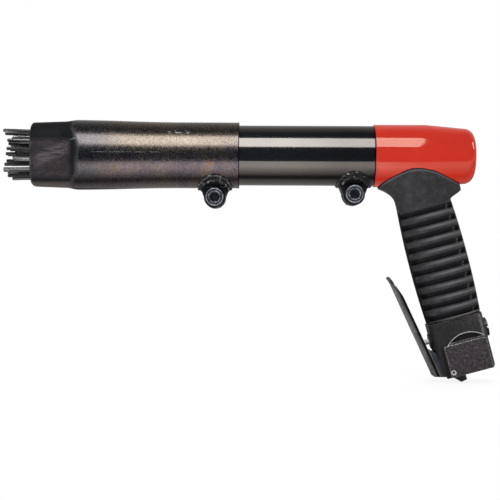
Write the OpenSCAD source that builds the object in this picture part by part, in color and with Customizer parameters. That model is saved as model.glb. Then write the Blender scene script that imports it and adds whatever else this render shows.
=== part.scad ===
// Air needle scaler with a pistol grip.
// The origin is on the barrel axis, midway along the stretch of barrel that shows.
// +X runs to the back head, the needles point to -X, the handle hangs down to -Z.

/* [Barrel] */
// Outside diameter of the barrel tube
barrel_od = 50.8; // [46:0.1:56]
// Wall of the barrel tube
barrel_wall = 2.4; // [2:0.1:3]
// Length of barrel that shows between the front tube and the back head
exposed_l = 114; // [100:1:140]
// Length of barrel inside the front tube
overlap_l = 91; // [86:1:100]

/* [Front tube] */
// Wall of the front tube
front_wall = 2.2; // [1.6:0.1:3]
// Length of the front tube
front_l = 175; // [168:1:200]
// Height of the tube where it swells behind the nose
swell_h = 59.2; // [57.5:0.1:62]
// Height of the flat nose
nose_h = 56; // [54:0.1:58]
// Height of the nose just behind its mouth
mouth_h = 54; // [52:0.1:56]
// Width of the nose across its pressed sides
nose_w = 45; // [43:0.5:50]
// Length of the flat nose
nose_l = 28; // [24:1:34]
// Length of the shoulder behind the nose
shoulder_l = 10; // [8:1:15]
// Rounding of the mouth's outer edge
mouth_round = 2.5; // [1:0.5:3]

/* [Clamps] */
// Radius of the round clamp lugs
lug_r = 9.2; // [8.6:0.1:11]
// Thickness of one lug
lug_t = 9; // [6:0.5:12]
// Width of the slit between the two lugs
slit_w = 5; // [3:0.5:7]
// Gap between a clamp nut and the pad above it
nut_gap = 0.4; // [0.2:0.1:2]
// Distance of the front screw from the rear end of the front tube
front_clamp_back = 20.5; // [16:0.5:30]
// Distance of the rear screw from the back head
rear_clamp_back = 17.2; // [16:0.2:24]
// Thread diameter of the clamp screws
screw_d = 10; // [8:0.5:11]
// Head diameter of the clamp screws
screw_head_d = 15.6; // [14:0.1:17]
// Head height of the clamp screws
screw_head_h = 8; // [6:0.5:10]
// Hexagon socket of the clamp screws, across flats
socket_af = 8; // [6:0.5:9]
// Hexagon of the clamp nuts, across flats
nut_af = 16; // [15:0.5:17]

/* [Needles] */
// Needle diameter
needle_d = 3; // [2:0.1:3.4]
// Needle length over its head
needle_l = 180; // [176:1:190]
// Diameter of a needle head
needle_head_d = 4.2; // [3.8:0.1:5]
// Needles in the outer, middle and inner ring
needle_rings = [15, 9, 4];

/* [Hammer] */
// Bore of the cylinder
piston_d = 25; // [22:0.5:26]
// Length of the piston
piston_l = 42; // [36:1:46]
// Diameter of the anvil shank
anvil_d = 18; // [15:0.5:20]
// Thickness of the anvil flange
anvil_flange_t = 7.5; // [6:0.5:9]

/* [Back head] */
// Diameter of the back head
head_od = 53; // [52:0.1:58]
// Length of the straight part of the back head
head_straight = 44; // [40:1:50]
// Length of the tapered part of the back head
head_taper = 32; // [30:1:40]
// Diameter at the small end of the taper
head_end_d = 47; // [43:0.5:49]
// Rounding of the rear end
head_round = 9; // [6:0.5:11]

/* [Handle] */
// Lean of the handle from square to the barrel
tilt = 15; // [10:0.5:20]
// Distance from the back head's front face to where the handle axis meets the barrel axis
handle_back = 31.6; // [29:0.2:36]
// Length of the sleeve along the handle axis, from the underside of the back head
sleeve_l = 115.5; // [108:0.5:125]
// Depth of the sleeve from front to rear, at its widest
sleeve_d = 50; // [47:0.5:54]
// Width of the sleeve
sleeve_w = 40; // [37:0.5:43]
// Grooves on each side of the sleeve
groove_n = 10; // [6:1:12]
// Width of a groove at its top
groove_w = 4.6; // [3:0.1:5.4]
// Depth of a groove
groove_d = 2.8; // [1:0.1:3]
// Length of the saddle under the back head
saddle_l = 68; // [64:1:70]
// How far the saddle's sides stop short of the back head's widest line
saddle_wrap = 2.5; // [1.5:0.1:5]

/* [Throttle] */
// Height of the throttle block
block_h = 47; // [45:0.5:54]
// Depth of the throttle block from front to rear
block_d = 46; // [44:0.5:50]
// Width of the throttle block without its raised panels
block_w = 34; // [33:0.5:38]
// How far a side panel stands out
panel_t = 1.8; // [1:0.1:3]
// Wall radius of the threaded air inlet
inlet_r = 7.5; // [6.5:0.1:8]
// Depth of the air inlet's thread
inlet_l = 14; // [12:0.5:15]
// Width of the lever
lever_w = 22; // [18:0.5:24]
// Sheet of the lever
lever_t = 2; // [1.5:0.1:2.5]
// Distance of the lever's tip above its pin
lever_l = 94; // [86:1:98]
// Diameter of the lever's roll pin
pin_d = 4; // [3:0.1:5]
// Diameter of the plunger
plunger_d = 4.5; // [4:0.1:5]
// Diameter of the throttle ball
ball_d = 10; // [9:0.1:11]

/* [Hidden] */
$fn = 96;

// Clearances
slide_fit = 0.05;
seat_fit = 0.05;
free_gap = 0.3;
eps = 0.5;

// Barrel stations along X
barrel_r = barrel_od / 2;
bore_r = barrel_r - barrel_wall;
barrel_rear = exposed_l / 2;
front_rear = -exposed_l / 2;
barrel_front = front_rear - overlap_l;

// Front tube sections
front_ri = barrel_r + free_gap;
front_ro = front_ri + front_wall;
mouth_x = front_rear - front_l;
nose_x = mouth_x + nose_l;
swell_x = nose_x + shoulder_l;
round_x = front_rear - 52;
front_seg = 48;

// Clamps
front_clamp_x = front_rear - front_clamp_back;
rear_clamp_x = barrel_rear - rear_clamp_back;
lug_y = slit_w / 2 + lug_t;
foot_half = lug_r + 4;
pad_r = lug_r + 6;
pad_t = 1.8;
pad_lift = 2;
screw_clear = 0.2;
// Distance of a clamp screw below a tube wall of radius r
function lug_drop(r) = sqrt(pow(r + pad_t, 2) - lug_y * lug_y) - r + max(nut_af, screw_head_d) / 2 + nut_gap;
slit_run = 22;
nut_h = 8;
screw_past_nut = 1.5;

// Needle pack stations
circlip_t = 1.6;
circlip_x = barrel_front + 3;
groove_out = 1;
stop_w = 3;
stop_t = 3;
stop_x = circlip_x + circlip_t + seat_fit;
stop_ri = bore_r - stop_w;
needle_head_l = 4;
holder_t = 12;
holder_skirt = 16;
skirt_wall = 2.5;
anvil_x = front_rear - 8.5;
holder_rear = anvil_x - free_gap - holder_skirt;
holder_x = holder_rear - holder_t;
needle_gap = 0.6;
tip_spread = holder_skirt - needle_head_l - free_gap;

// Needle pattern: round in the holder, spread to the flat nose at the mouth
nose_gap = 3.4;
spread_z = mouth_h / 2 - front_wall - nose_gap - needle_d / 2;
spread_y = nose_w / 2 - front_wall - nose_gap - needle_d / 2;
stop_share = (holder_rear - stop_x) / (holder_rear - mouth_x);
stop_limit = stop_ri - needle_gap - needle_d / 2;
ring_r = (stop_limit - spread_z * stop_share) / (1 - stop_share);
ring_scale = [1, 0.66, 0.28];
ring_turn = [3, 20, 25];
golden = 0.618;

// Return spring
spring_wire = 2.2;
spring_turns = 7;

// Hammer stations
cyl_front = anvil_x + anvil_flange_t + free_gap;
bush_l = 33;
bush_wall = 5;
chamber_x = cyl_front + bush_l;
anvil_rear = chamber_x + 2;
piston_x = anvil_rear + free_gap;
seat_x = barrel_rear - 10;
seat_t = 5;
valve_r = 11;
valve_t = 1.2;
valve_lift = 1.2;
valve_hole = 2.5;
seat_port_r = 1.6;
seat_port_at = valve_r * 0.6;
cap_port_r = 2.2;
cap_port_at = valve_r * 0.45;
valve_x = seat_x + seat_t + free_gap;
cap_room = 2 * free_gap + valve_t + valve_lift;
spigot_l = 12;
spigot_r = bore_r - 2.5;
cyl_rear = barrel_rear + spigot_l;
collar_l = 52;
valve_bore_r = piston_d / 2 + 3.5;
seal_wire = 0.9;
seal_half = seal_wire + 0.2;
cyl_seal_x = barrel_rear + 5;

// Back head
head_r = head_od / 2;
head_end_r = head_end_d / 2;
head_cavity_r = 14;
head_cavity_l = 34;

// Handle frame: local x runs to the rear of the handle, local -z runs down its axis
handle_x = barrel_rear + handle_back;
core_d = 33;
core_w = 26;
stem_r = 11;
air_r = 6.5;
stem_top = 12;
stem_foot = 7;
sleeve_end = head_r + sleeve_l;
sleeve_seg = 44;
saddle_top = head_r - 18.5;
saddle_rise = 8;
neck_end = head_r + 17.5;
bow_h = 1.7;
neck_h = 0.3;
front_flare_end = head_r + 8.5;
front_flare_l = 15;
rear_flare_end = head_r + 16.5;
rear_flare_l = 7;
side_flare_end = head_r + 14.5;
side_flare_l = 28;
groove_first = neck_end + 3.7;
groove_last = sleeve_end - 5.2;

// Throttle block, in the handle frame
block_end = sleeve_end + block_h;
block_front = -block_d / 2 - 0.4;
block_rear = block_front + block_d;
block_round = 6;
block_corner = 3.5;
valve_s = sleeve_end + 14.2;
panel_rear = block_rear - 2.6;
panel_top = sleeve_end + 20.3;
scoop_r = 22;
scoop_t = 4;
scoop_top = sleeve_end + 13.2;
scoop_d = 2.2;
pin_s = block_end - 4.1;
pin_t = block_front + 9.7;
panel_front = pin_t - pin_d / 2 - 0.4;
slot_top = valve_s + 7.3;
slot_relief = 4;
slot_rear = pin_t + 7.7;
inlet_t = block_rear - inlet_r - 7;
screen_t = 1.5;
screen_r = inlet_r - 1;

// Throttle valve, from front to rear
bush_r = 5;
bush_in = block_front + 9.7;
bush_flange_t = 1.6;
bush_flange_r = 6.4;
seal_r = (bush_r - plunger_d / 2) / 2 - slide_fit;
gallery_t = bush_in + 2 * seal_r + 2 * seat_fit;
gallery_r = 4.5;
seat_front = block_front + 21.4;
seat_len = 4;
seat_hole_r = 3.4;
valve_hole_r = ball_d / 2 + 2;
ball_r = ball_d / 2;
ball_gap = 0.1;
ball_t = seat_front + seat_len + sqrt(ball_r * ball_r - seat_hole_r * seat_hole_r) + ball_gap;
plug_front = block_rear - 3.6;
plug_neck_r = valve_hole_r - 1.85;
plug_neck_l = 2;
cap_r = valve_hole_r + 1;
cap_t = 3.2;
throttle_wire = 1;
throttle_turns = 3;
throttle_spring_r = 3.6;
port_t = -4;
port_r = 2.6;

// Lever, in the handle frame: outer face of the web from its foot to its tip
lever_lean = 10;
lever_face = 15.3;
lever_foot = 2.2;
flange_d = 4.5;
lever_y = lever_w / 2;
slot_half = lever_y + 0.6;
boss_r = 5;
curl_r = 24;
curl_a = 18;

// Blends a into b as u goes from 0 to 1
function mix(a, b, u) = a + (b - a) * u;
function clamp01(u) = min(1, max(0, u));
function smooth(u) = let (v = clamp01(u)) v * v * (3 - 2 * v);
function frac(u) = u - floor(u);
function bend(v, n) = sign(v) * pow(abs(v), 2 / n);
// Oval of half sizes a and b: n = 2 is an ellipse, a larger n is squarer
function oval(a, b, n, seg) = [for (i = [0:seg - 1])
    let (w = 360 * (i + 0.5) / seg) [a * bend(cos(w), n), b * bend(sin(w), n)]];

// Solid skinned over rings of points; closed joins the last ring to the first
module skin(rings, closed = false) {
    n = len(rings[0]);
    m = len(rings);
    spans = closed ? m : m - 1;
    sides = [for (k = [0:spans - 1], i = [0:n - 1])
        let (a = k * n, b = ((k + 1) % m) * n, j = (i + 1) % n)
        each [[a + i, b + j, b + i], [a + i, a + j, b + j]]];
    caps = closed ? [] : [[for (i = [0:n - 1]) n - 1 - i], [for (i = [0:n - 1]) m * n - n + i]];
    polyhedron([for (r = rings) each r], concat(sides, caps), convexity = 10);
}

// Turns a profile of (radius, x) points about the barrel axis
module revolve_x(angle = 360) {
    rotate([0, 90, 0]) rotate_extrude(angle = angle) children();
}

module rod_x(r, x0, x1) {
    translate([x0, 0, 0]) rotate([0, 90, 0]) cylinder(r = r, h = x1 - x0);
}

module tube_x(ro, ri, x0, x1) {
    difference() {
        rod_x(ro, x0, x1);
        rod_x(ri, x0 - eps, x1 + eps);
    }
}

module rod_y(r, y0, y1) {
    translate([0, y0, 0]) rotate([-90, 0, 0]) cylinder(r = r, h = y1 - y0);
}

module handle_frame() {
    translate([handle_x, 0, 0]) rotate([0, -tilt, 0]) children();
}

// Rod along the handle axis between two distances from the barrel axis
module rod_s(r, s0, s1, t = 0) {
    translate([t, 0, -s1]) cylinder(r = r, h = s1 - s0);
}

// Rod across the handle from front to rear, on the throttle valve's axis
module rod_t(r, t0, t1) {
    translate([t0, 0, -valve_s]) rotate([0, 90, 0]) cylinder(r = r, h = t1 - t0);
}

// Plate in the handle's side plane, drawn with (t, -s) points
module side_plate(y0, y1) {
    translate([0, y1, 0]) rotate([90, 0, 0]) linear_extrude(y1 - y0) children();
}

// Helix along Z from z0 to z1
function coil_mid(r, z0, z1, turns, u) = [r * cos(360 * turns * u), r * sin(360 * turns * u), mix(z0, z1, u)];
function coil_ring(r, wire, z0, z1, turns, u) =
    let (w = 360 * turns * u, lead = atan((z1 - z0) / (2 * PI * r * turns)),
        out = [cos(w), sin(w), 0], up = [sin(w) * sin(lead), -cos(w) * sin(lead), cos(lead)])
    [for (k = [0:5]) coil_mid(r, z0, z1, turns, u) + wire / 2 * (cos(60 * k) * out + sin(60 * k) * up)];

module coil(r, wire, z0, z1, turns) {
    turn_steps = 16;
    steps = turn_steps * turns;
    skin([for (k = [0:steps]) coil_ring(r, wire, z0, z1, turns, k / steps)]);
    mids = [for (k = [0:steps]) coil_mid(r, z0, z1, turns, k / steps)];
    gaps = [for (a = [0:steps], b = [0:steps]) if (b - a > turn_steps / 2) norm(mids[a] - mids[b]) - wire];
    echo("least gap between turns", min(gaps));
}

module ring_seal(r, wire) {
    rotate_extrude() translate([r, 0]) circle(wire);
}

// Half height and half width of the front tube's outside at x; pressed goes from 0, round, to 1, flat
function mouth_fall(x) = let (d = clamp01((mouth_x + mouth_round - x) / mouth_round))
    mouth_round * 0.6 * (1 - sqrt(1 - d * d));
function front_hz(x) = x > swell_x ? mix(front_ro, swell_h / 2, smooth((round_x - x) / (round_x - swell_x)))
    : x > nose_x ? mix(swell_h / 2, nose_h / 2, smooth((swell_x - x) / shoulder_l))
    : mix(nose_h / 2, mouth_h / 2, (nose_x - x) / nose_l) - mouth_fall(x);
function pressed(x) = smooth((swell_x + 1 - x) / (shoulder_l + 3));
function front_hy(x) = mix(front_ro, nose_w / 2, pressed(x)) - mouth_fall(x);
function front_n(x) = mix(2, 3, pressed(x));
function front_ring(x, inset) = [for (p = oval(front_hy(x) - inset, front_hz(x) - inset, front_n(x), front_seg))
    [x, p[0], p[1]]];

front_stations = concat([for (k = [0:4]) mix(round_x, swell_x + 6, k / 4)],
    [for (k = [0:8]) mix(swell_x + 2, nose_x - 10, k / 8)],
    [mix(nose_x, mouth_x, 0.6), mouth_x + mouth_round, mouth_x + mouth_round * 0.4, mouth_x]);

// Lofted front of the tube, with its rear end bedded in the wall of the round part
module front_loft() {
    bed = 0.4;
    skin_in = 0.02;
    last = len(front_stations) - 1;
    skin(concat([front_ring(round_x + 2, bed)],
        [for (x = front_stations) front_ring(x, skin_in)],
        [for (k = [last:-1:0]) let (x = front_stations[k]) front_ring(x, front_wall - skin_in - mouth_fall(x))],
        [front_ring(round_x + 2, front_wall - bed)]), closed = true);
}

// Clamp lugs below a tube of radius r, with the pads that join them to its wall
module clamp_lugs(x, r) {
    translate([x, 0, 0]) {
        for (side = [0, 1]) mirror([0, side, 0]) {
            side_plate(slit_w / 2, lug_y) {
                translate([0, -r - lug_drop(r)]) circle(lug_r);
                polygon([[-lug_r, -r - lug_drop(r)], [lug_r, -r - lug_drop(r)],
                    [foot_half, -r * 0.9], [-foot_half, -r * 0.9]]);
            }
            intersection() {
                rod_x(r + pad_t, -pad_r, pad_r);
                translate([0, 0, pad_lift - r - lug_drop(r)]) rod_y(pad_r, slit_w / 2, r);
            }
        }
    }
}

module clamp_cuts(x, r) {
    translate([x, 0, -r - lug_drop(r)]) rod_y(screw_d / 2 + screw_clear, -lug_y - eps, lug_y + eps);
}

// Slit along the bottom of a tube wall
module slit(x0, x1, r) {
    depth = barrel_wall + front_wall + pad_t + 2;
    translate([x0, -slit_w / 2, -r - pad_t - eps]) cube([x1 - x0, slit_w, depth]);
}

module socket_screw(x, r) {
    z = -r - lug_drop(r);
    bevel = 0.8;
    hr = screw_head_d / 2;
    length = 2 * lug_y + nut_h + screw_past_nut;
    socket_d = socket_af / cos(30);
    socket_h = screw_head_h * 0.6;
    translate([x, -lug_y, z]) rotate([-90, 0, 0]) difference() {
        union() {
            rotate_extrude() polygon([[0, -screw_head_h], [hr - bevel, -screw_head_h],
                [hr, bevel - screw_head_h], [hr, 0], [0, 0]]);
            translate([0, 0, -eps]) cylinder(d = screw_d, h = length + eps);
        }
        translate([0, 0, -screw_head_h - eps]) cylinder(d = socket_d, h = socket_h, $fn = 6);
    }
}

module clamp_nut(x, r) {
    translate([x, lug_y, -r - lug_drop(r)]) rotate([-90, 0, 0]) difference() {
        cylinder(d = nut_af / cos(30), h = nut_h, $fn = 6);
        translate([0, 0, -eps]) cylinder(r = screw_d / 2 + slide_fit, h = nut_h + 2 * eps);
    }
}

module front_tube() {
    color("#3a3431") union() {
        difference() {
            union() {
                rod_x(front_ro, round_x, front_rear);
                clamp_lugs(front_clamp_x, front_ro);
            }
            rod_x(front_ri, round_x - eps, front_rear + eps);
            slit(front_clamp_x - slit_run, front_rear + eps, front_ro);
            clamp_cuts(front_clamp_x, front_ro);
        }
        front_loft();
    }
}

module front_clamp_screw() {
    color("#2a2a2c") socket_screw(front_clamp_x, front_ro);
}

module front_clamp_nut() {
    color("#2a2a2c") clamp_nut(front_clamp_x, front_ro);
}

module barrel_tube() {
    color("#1d1e22") difference() {
        union() {
            rod_x(barrel_r, barrel_front, barrel_rear);
            clamp_lugs(rear_clamp_x, barrel_r);
        }
        rod_x(bore_r, barrel_front - eps, barrel_rear + eps);
        rod_x(bore_r + groove_out, circlip_x, circlip_x + circlip_t);
        slit(rear_clamp_x - slit_run, barrel_rear + eps, barrel_r);
        clamp_cuts(rear_clamp_x, barrel_r);
    }
}

module rear_clamp_screw() {
    color("#2a2a2c") socket_screw(rear_clamp_x, barrel_r);
}

module rear_clamp_nut() {
    color("#2a2a2c") clamp_nut(rear_clamp_x, barrel_r);
}

// Places its children on the line of one needle, with local -Z toward the tip
module on_needle(ring, k) {
    w = ring_turn[ring] + 360 * k / needle_rings[ring];
    a = ring_r * ring_scale[ring] * [cos(w), sin(w)];
    b = ring_scale[ring] * [spread_y * cos(w), spread_z * sin(w)];
    run = holder_rear - mouth_x;
    yaw = atan((b[0] - a[0]) / run);
    pitch = atan((b[1] - a[1]) / run * cos(yaw));
    translate([holder_rear, a[0], a[1]]) rotate([0, 0, -yaw]) rotate([0, 90 + pitch, 0]) children();
}

// How far one needle is pushed back in its holder
function pushed_back(ring, k) = tip_spread * frac(golden * (k * (ring + 2) + 3 * ring) + 0.1);

module needles() {
    color("#6b6a68") for (ring = [0:2], k = [0:needle_rings[ring] - 1]) {
        on_needle(ring, k) translate([0, 0, needle_head_l + pushed_back(ring, k)]) {
            translate([0, 0, -needle_l]) cylinder(d = needle_d, h = needle_l);
            translate([0, 0, seat_fit - needle_head_l])
                cylinder(d = needle_head_d, h = needle_head_l - seat_fit);
        }
    }
}

module needle_holder() {
    color("#55565a") difference() {
        rod_x(bore_r - slide_fit, holder_x, holder_rear + holder_skirt);
        rod_x(bore_r - skirt_wall, holder_rear, holder_rear + holder_skirt + eps);
        for (ring = [0:2], k = [0:needle_rings[ring] - 1]) {
            on_needle(ring, k) translate([0, 0, -holder_t - 2])
                cylinder(r = needle_d / 2 + slide_fit, h = holder_t + 4);
        }
    }
}

module return_spring() {
    mid_r = bore_r - free_gap - spring_wire / 2;
    rest = stop_x + stop_t + spring_wire / 2 + seat_fit;
    color("#8d8f92") rotate([0, 90, 0])
        coil(mid_r, spring_wire, rest, holder_x - spring_wire / 2 - free_gap, spring_turns);
}

module spring_stop() {
    color("#55565a") tube_x(bore_r - seat_fit, stop_ri, stop_x, stop_x + stop_t);
}

module stop_circlip() {
    color("#8d8f92") translate([circlip_x + seat_fit, 0, 0]) revolve_x(320)
        translate([stop_ri, 0]) square([stop_w + groove_out - seat_fit, circlip_t - 2 * seat_fit]);
}

module anvil() {
    color("#77787a") union() {
        rod_x(bore_r - free_gap, anvil_x, anvil_x + anvil_flange_t);
        rod_x(anvil_d / 2, anvil_x + 1, anvil_rear);
    }
}

module anvil_bush() {
    color("#b08d4a") tube_x(anvil_d / 2 + bush_wall - seat_fit, anvil_d / 2 + slide_fit, cyl_front, chamber_x);
}

module cylinder_body() {
    color("#77787a") difference() {
        union() {
            rod_x(bore_r - 2, cyl_front, barrel_rear);
            rod_x(bore_r - seat_fit, barrel_rear - collar_l, barrel_rear);
            rod_x(spigot_r, barrel_rear - 1, cyl_rear);
        }
        rod_x(anvil_d / 2 + bush_wall, cyl_front - eps, chamber_x);
        rod_x(piston_d / 2, chamber_x - eps, seat_x);
        rod_x(valve_bore_r, seat_x, cyl_rear + eps);
        tube_x(spigot_r + eps, spigot_r - 2 * seal_wire, cyl_seal_x - seal_half, cyl_seal_x + seal_half);
    }
}

module cylinder_seal() {
    color("#161616") translate([cyl_seal_x, 0, 0]) rotate([0, 90, 0])
        ring_seal(spigot_r - seal_wire, seal_wire - seat_fit);
}

module piston() {
    grip_groove = 1.5;
    color("#8d8f92") difference() {
        rod_x(piston_d / 2 - slide_fit, piston_x, piston_x + piston_l);
        rod_x(piston_d * 0.28, piston_x + piston_l / 2, piston_x + piston_l + eps);
        for (k = [1:3]) tube_x(piston_d, piston_d / 2 - 0.8, piston_x + 8 * k, piston_x + 8 * k + grip_groove);
    }
}

module valve_seat() {
    color("#8d8f92") difference() {
        rod_x(valve_bore_r - seat_fit, seat_x, seat_x + seat_t);
        for (k = [0:5]) rotate([60 * k, 0, 0]) translate([0, 0, seat_port_at])
            rod_x(seat_port_r, seat_x - eps, seat_x + seat_t + eps);
    }
}

module valve_plate() {
    color("#b9bbbe") tube_x(valve_r, valve_hole, valve_x, valve_x + valve_t);
}

module valve_cap() {
    front = seat_x + seat_t;
    color("#77787a") difference() {
        rod_x(valve_bore_r - seat_fit, front, cyl_rear);
        rod_x(valve_r + free_gap, front - eps, front + cap_room);
        for (k = [0:3]) rotate([90 * k, 0, 0]) translate([0, 0, cap_port_at])
            rod_x(cap_port_r, front, cyl_rear + eps);
    }
}

// Outside of the back head, grown by extra
module head_solid(extra = 0) {
    x1 = barrel_rear + head_straight;
    x2 = x1 + head_taper;
    round_r = head_end_r - head_round;
    revolve_x() {
        polygon([[0, barrel_rear - extra], [head_r + extra, barrel_rear - extra], [head_r + extra, x1],
            [head_end_r + extra, x2], [0, x2]]);
        translate([round_r, x2]) circle(head_round + extra);
        translate([0, x2 - 1]) square([round_r, head_round + extra + 1]);
    }
}

module back_head() {
    color("#cf3026") difference() {
        head_solid();
        rod_x(spigot_r + seat_fit, barrel_rear - eps, cyl_rear);
        rod_x(head_cavity_r, cyl_rear - eps, cyl_rear + head_cavity_l);
        handle_frame() rod_s(stem_r + seat_fit, stem_top, head_r + 20);
        handle_frame() rod_s(air_r, 0, stem_top + eps);
    }
}

// Rounded bar section of the handle core, grown by extra
module core_section(extra) {
    half = (core_d - core_w) / 2;
    for (side = [-half, half]) translate([side, 0]) circle(core_w / 2 + extra);
    square([2 * half, core_w + 2 * extra], center = true);
}

module handle_core() {
    color("#3d3e40") difference() {
        handle_frame() difference() {
            union() {
                translate([0, 0, -sleeve_end]) linear_extrude(sleeve_end - stem_top) core_section(0);
                rod_s(stem_r, sleeve_end - eps, sleeve_end + stem_foot);
            }
            rod_s(air_r, 0, sleeve_end + stem_foot + eps);
        }
        difference() {
            head_solid(seat_fit);
            handle_frame() rod_s(stem_r, 0, head_r + 20);
        }
    }
}

// Front and rear reach and half width of the sleeve at distance s down the handle axis
function bow(s) = let (mid = (neck_end + sleeve_end) / 2, half = (sleeve_end - neck_end) / 2)
    max(-neck_h, bow_h * (1 - pow((s - mid) / half, 2)));
function sleeve_reach(s) = sleeve_d / 2 - bow_h + bow(s);
function in_head(s) = smooth((s - saddle_top) / saddle_rise);
function sleeve_front(s) = mix(sleeve_reach(s), saddle_l / 2,
    in_head(s) * pow(clamp01((front_flare_end - s) / front_flare_l), 2));
function sleeve_rear(s) = mix(sleeve_reach(s), saddle_l / 2,
    in_head(s) * smooth((rear_flare_end - s) / rear_flare_l));
function sleeve_half(s) = mix(sleeve_w / 2 - bow_h + bow(s), head_r - saddle_wrap,
    smooth((side_flare_end - s) / side_flare_l));
// Share of the groove depth round the section: none on the front and rear spines
function groove_share(w) = smooth((70 - abs(w)) / 9);
function sleeve_ring(s, cut, shrink = 0) = [for (i = [0:sleeve_seg - 1])
    let (w = 360 * (i + 0.5) / sleeve_seg, c = cos(w), d = sin(w),
        reach = c > 0 ? sleeve_rear(s) : sleeve_front(s),
        p = [(reach - shrink) * bend(c, 2.3), (sleeve_half(s) - shrink) * bend(d, 2.3)],
        side = 90 - abs(atan2(d, abs(c))), in = cut * groove_share(side))
    [p[0] - in * c * 0.6, p[1] - in * sign(d) * 0.9, -s]];

module grip_sleeve() {
    flare_steps = 14;
    flares = [for (k = [0:flare_steps])
        sleeve_ring(mix(saddle_top, neck_end, pow(k / flare_steps, 0.75)), 0)];
    grooves = [for (k = [0:groove_n - 1]) let (s = mix(groove_first, groove_last, k / (groove_n - 1)))
        each [sleeve_ring(s - groove_w / 2, 0), sleeve_ring(s - groove_w * 0.32, groove_d),
            sleeve_ring(s + groove_w * 0.2, groove_d), sleeve_ring(s + groove_w / 2, 0)]];
    ends = [sleeve_ring(sleeve_end - 1, 0), sleeve_ring(sleeve_end, 0, 1)];
    color("#343537") difference() {
        handle_frame() difference() {
            skin(concat(flares, grooves, ends));
            translate([0, 0, -sleeve_end - eps]) linear_extrude(sleeve_end) core_section(seat_fit);
        }
        head_solid(seat_fit);
    }
}

// Block section seen along the handle axis
module block_section() {
    w = block_w / 2 - block_round;
    translate([block_front, -w]) square([block_d, 2 * w]);
    translate([block_front + block_round, -block_w / 2]) square([block_d - 2 * block_round, block_w]);
    for (t = [block_front + block_round, block_rear - block_round], y = [-w, w])
        translate([t, y]) circle(block_round);
}

module side_panel() {
    r = 3;
    translate([panel_front, -block_end]) square([panel_rear - panel_front, block_end - panel_top - r]);
    translate([panel_front, -block_end]) square([panel_rear - panel_front - r, block_end - panel_top]);
    translate([panel_rear - r, -panel_top - r]) circle(r);
}

// Crescent hollow between its arc and the top of the side panel
module scoop() {
    difference() {
        translate([scoop_t, -scoop_top - scoop_r]) circle(scoop_r);
        translate([-block_d, -block_end]) square([2 * block_d, block_end - panel_top + 1.4]);
    }
}

// Sharp edge outside the round at the block's rear bottom corner
module block_edge() {
    translate([block_rear - block_corner, -block_end + block_corner]) difference() {
        translate([0, -2 * block_corner]) square(2 * block_corner);
        circle(block_corner);
    }
}

module throttle_block() {
    color("#2c2b2c") handle_frame() difference() {
        union() {
            translate([0, 0, -block_end]) linear_extrude(block_h) block_section();
            for (side = [0, 1]) mirror([0, side, 0])
                side_plate(block_w / 2 - 1, block_w / 2 + panel_t) side_panel();
        }
        for (side = [0, 1]) mirror([0, side, 0]) side_plate(block_w / 2 - scoop_d, block_w) scoop();
        side_plate(-block_w, block_w) polygon([[block_front - 1, -slot_top], [block_front, -slot_top],
            [block_front + 4, -block_end - 1], [block_front - 1, -block_end - 1]]);
        side_plate(-slot_half, slot_half) translate([block_front - 1, -block_end - 1])
            square([slot_rear - block_front + 1, block_end + 1 - slot_top]);
        for (side = [0, 1]) mirror([0, side, 0]) side_plate(lever_y - lever_t - 0.6, slot_half)
            polygon([[block_front - 1, -slot_top - 1], [block_front - 1, slot_relief - slot_top],
                [block_front + 1.2 * slot_relief, -slot_top - 1]]);
        side_plate(-block_w, block_w) block_edge();
        translate([pin_t, 0, -pin_s]) rod_y(pin_d / 2 + seat_fit, -block_w, block_w);
        rod_s(stem_r + seat_fit, sleeve_end - eps, sleeve_end + stem_foot + seat_fit);
        rod_s(port_r, sleeve_end, valve_s, port_t);
        rod_t(bush_r, block_front - eps, gallery_t);
        rod_t(gallery_r, block_front, seat_front + eps);
        rod_t(valve_hole_r, seat_front, block_rear + eps);
        rod_s(inlet_r, block_end - inlet_l, block_end + eps, inlet_t);
        rod_s(screen_r, block_end - inlet_l - screen_t, block_end, inlet_t);
        rod_s(screen_r - 2, valve_s, block_end, inlet_t);
    }
}

module lever_pin() {
    reach = block_w / 2 + panel_t - 0.2;
    color("#c9cacc") handle_frame() translate([pin_t, 0, -pin_s]) difference() {
        rod_y(pin_d / 2, -reach, reach);
        rod_y(pin_d * 0.28, -reach - eps, reach + eps);
    }
}

// Lever outline, with (0, 0) at the pin and the web's outer face leaning back from the handle
function lever_pt(up, out) = [-(lever_face + out) * cos(lever_lean) - up * sin(lever_lean),
    up * cos(lever_lean) - (lever_face + out) * sin(lever_lean)];
curl_up = lever_l - curl_r * sin(curl_a);
function curl_pt(w, r) = lever_pt(curl_up + r * sin(w), curl_r - r * cos(w));

module lever_web() {
    steps = 6;
    polygon(concat([lever_pt(lever_foot, 0), lever_pt(lever_foot, -lever_t)],
        [for (k = [0:steps]) curl_pt(curl_a * k / steps, curl_r + lever_t)],
        [for (k = [steps:-1:0]) curl_pt(curl_a * k / steps, curl_r)]));
}

module lever_flange() {
    drop = block_end - pin_s;
    tab = drop + free_gap;
    difference() {
        union() {
            polygon([lever_pt(lever_foot, -0.2), lever_pt(curl_up, -0.2), lever_pt(curl_up, -lever_t - 0.5),
                lever_pt(curl_up - 12, -flange_d), lever_pt(26, -flange_d), [-6.9, 17],
                [boss_r, 2], [boss_r, -tab + 0.5], [-0.7, -drop - 0.4]]);
            polygon([[-0.7, -drop - 0.4], [1, -drop + 1], [6, -tab], [10.2, -tab],
                [10.4, -drop - 5], [5.2, -drop - 6]]);
            circle(boss_r);
        }
        circle(pin_d / 2 + slide_fit);
    }
}

// Front outline of the lever: full width at the pin, narrower with a round end at the tip
module lever_outline() {
    tip_r = lever_y * 0.8;
    polygon([[-lever_y, -20], [lever_y, -20], [lever_y, lever_l * 0.5], [tip_r, lever_l - tip_r],
        [-tip_r, lever_l - tip_r], [-lever_y, lever_l * 0.5]]);
    translate([0, lever_l - tip_r]) circle(tip_r);
}

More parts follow.
